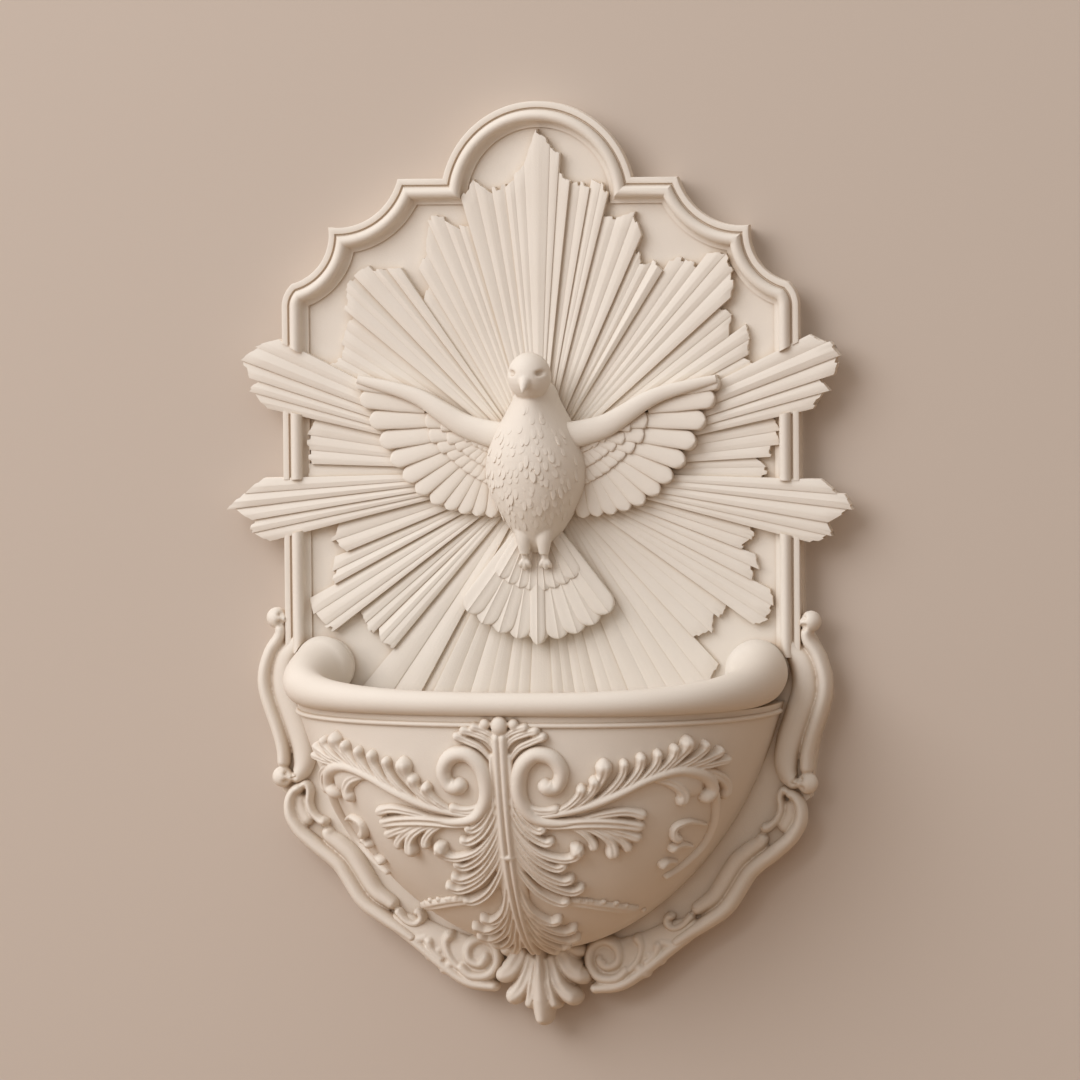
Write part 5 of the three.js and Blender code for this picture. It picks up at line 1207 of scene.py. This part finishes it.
def slab(outline, back, front):
    return skin([[(x, y, z) for x, y in outline] for z in (back, front)])


def round_corners(wide, tall, radius):
    outline = []
    for corner, (sx, sy) in enumerate(((1, 1), (-1, 1), (-1, -1), (1, -1))):
        for step in np.linspace(0, math.pi / 2, 6):
            turn = corner * math.pi / 2 + step
            outline.append((sx * (wide / 2 - radius) + radius * math.cos(turn),
                            sy * (tall / 2 - radius) + radius * math.sin(turn)))
    return outline


def keyhole():
    lean = math.asin(KEYHOLE_SLOT / KEYHOLE_RADIUS)
    low = -KEYHOLE_RISE / 2
    turns = np.linspace(math.pi / 2 + lean, math.pi * 5 / 2 - lean, 32)
    hole = [(KEYHOLE_RADIUS * math.cos(t), low + KEYHOLE_RADIUS * math.sin(t)) for t in turns]
    bend = np.linspace(0, math.pi, 14)
    return hole + [(KEYHOLE_SLOT * math.cos(t), KEYHOLE_SLOT * math.sin(t) - low) for t in bend]


def turned(profile, sides=36):
    """Round solid of (radius, height) points."""
    angles = np.linspace(0, 2 * math.pi, sides, endpoint=False)
    return skin([[(r * math.cos(a), r * math.sin(a), z) for a in angles] for r, z in profile])


for number, hanger_x in enumerate(HANGER_X, 1):
    outline = round_corners(HANGER_WIDE, HANGER_TALL, HANGER_CORNER)
    plate = shape(f"hanger_plate_{number}_pressed", [slab(outline, HANGER_SUNK, HANGER_SUNK + HANGER_THICK)])
    sinks = [shape("sink", [turned(COUNTERSINK)]) for _ in range(2)]
    for sink_tool, rise in zip(sinks, (1, -1)):
        sink_tool.data.transform(Matrix.Translation((0, rise * HANGER_SCREW_SPACING / 2, 0)))
    cut(plate, [shape("key", [slab(keyhole(), -1, 6)]), *sinks])
    plate.data.transform(Matrix.Translation((hanger_x, HANGER_Y, 0)))
    settle(plate, zinc, [f"hanger_plate_{number}"], STEEL_CREASE)

for screw_name, (head, shank, sink, long, level, spots) in SCREWS.items():
    screw = shape("screw", [turned([
        (head * 0.2, 0.05), (head * 0.9, 0), (head, 0.15), (head, 0.35), (shank, sink), (shank, long * 0.8),
        (shank * 0.2, long)])])
    cross = [shape("cross", [slab(round_corners(w * head, h * head, 0.1), -1, sink * 0.55)])
             for w, h in ((1.1, 0.26), (0.26, 1.1))]
    cut(screw, cross)
    places = [((x, y, level), (0, 0, 0.4 * x), (1, 1, 1)) for x, y in spots]
    nodes = [f"{screw_name}_{i + 1}" for i in range(len(spots))]
    screws = copies(f"{screw_name}s_turned", screw, places, zinc)
    settle(screws, zinc, nodes, STEEL_CREASE)

# Stage: a plain painted wall just behind the plate, that is see-through from behind, a pale floor
# well below, a broad soft lamp high on the left, a weaker one behind the wall and a pale room.
WALL_GAP, FLOOR_Z = 0.0012, -1.1


def matt_paint(name, colour, bounced, one_sided):
    """Flat paint; what it throws back on the stoup may have another colour than what the camera sees."""
    material, tree, shader = new_finish(name)
    seen = node(tree, "ShaderNodeLightPath")["Is Camera Ray"]
    tone = node(tree, "ShaderNodeMixRGB", {"Fac": seen, "Color1": linear(bounced), "Color2": linear(colour)})
    connect(tree, shader, {"Base Color": tone["Color"], "Roughness": 0.9, "Specular IOR Level": 0.1})
    if one_sided:
        behind = node(tree, "ShaderNodeNewGeometry")["Backfacing"]
        away = node(tree, "ShaderNodeMath", {0: seen, 1: behind}, operation="MULTIPLY")["Value"]
        clear = node(tree, "ShaderNodeBsdfTransparent")["BSDF"]
        mixed = node(tree, "ShaderNodeMixShader", {0: away, 1: shader.outputs["BSDF"], 2: clear})["Shader"]
        connect(tree, tree.nodes["Material Output"], {"Surface": mixed})
    return material


def sheet(name, corners, material):
    obj = add_mesh(name, corners, (), [(0, 1, 2, 3)])
    obj.data.materials.append(material)
    return obj


wall = sheet("wall", [(-3, WALL_GAP, FLOOR_Z), (3, WALL_GAP, FLOOR_Z), (3, WALL_GAP, 3), (-3, WALL_GAP, 3)],
             matt_paint("wall_paint", "c6b9ad", "c2ad98", True))
wall.visible_shadow = False
sheet("floor", [(-4, -5, FLOOR_Z), (4, -5, FLOOR_Z), (4, 5, FLOOR_Z), (-4, 5, FLOOR_Z)],
      matt_paint("floor_paint", "cdc5bb", "a2866a", False))


def soft_lamp(name, place, aim, size, watts, colour):
    light = bpy.data.lights.new(name, "AREA")
    light.shape = "DISK"
    light.size = size
    light.energy = watts
    light.color = linear(colour)[:3]
    lamp = add(name, light)
    lamp.location = place
    lamp.rotation_euler = (Vector(aim) - Vector(place)).to_track_quat("-Z", "Y").to_euler()


soft_lamp("key_lamp", (-1.65, -2.05, 1.5), (0, 0, -0.1), 2.4, 53, "fdfcff")
soft_lamp("back_lamp", (-0.8, 2.4, 1.2), (0, 0, -0.05), 1.6, 30, "fffaf4")
world = bpy.data.worlds.new("pale_room")
world.use_nodes = True
room = world.node_tree
seen_way = node(room, "ShaderNodeTexCoord")["Generated"]
towards = node(room, "ShaderNodeVectorMath", {0: seen_way, 1: (-0.6, -0.46, 0.65)}, operation="DOT_PRODUCT")
pale = node(room, "ShaderNodeMapRange", {
    "Value": towards["Value"], "From Min": -0.6, "From Max": 1.0, "To Min": 0.2, "To Max": 1.08})["Result"]
tint = node(room, "ShaderNodeMixRGB", {"Fac": pale, "Color1": linear("a87f58"), "Color2": linear("f8f5f2")})
connect(room, room.nodes["Background"], {"Color": tint["Color"], "Strength": pale})
bpy.context.scene.world = world

# Camera: a long lens a little to the right of the stoup and just above its middle.
AZIMUTH, ELEVATION, ROLL = 12.0, 3.5, -0.5
DISTANCE = 3.2
AIM = Vector((0, -0.015, -0.036))
MM_PER_PIXEL, PICTURE_PIXELS = 0.52, 1080
camera_data = bpy.data.cameras.new("camera")
camera_data.lens = camera_data.sensor_width * DISTANCE * 1000 / (MM_PER_PIXEL * PICTURE_PIXELS)
camera = add("camera", camera_data)
bearing, tilt = math.radians(AZIMUTH), math.radians(ELEVATION)
back = Vector((math.sin(bearing) * math.cos(tilt), -math.cos(bearing) * math.cos(tilt), math.sin(tilt)))
camera.location = AIM + back * DISTANCE
level_turn = (-back).to_track_quat("-Z", "Y")
camera.rotation_euler = (level_turn.to_matrix() @ Matrix.Rotation(math.radians(ROLL), 3, "Z")).to_euler()
bpy.context.scene.camera = camera
bpy.context.scene.view_settings.view_transform = "Standard"
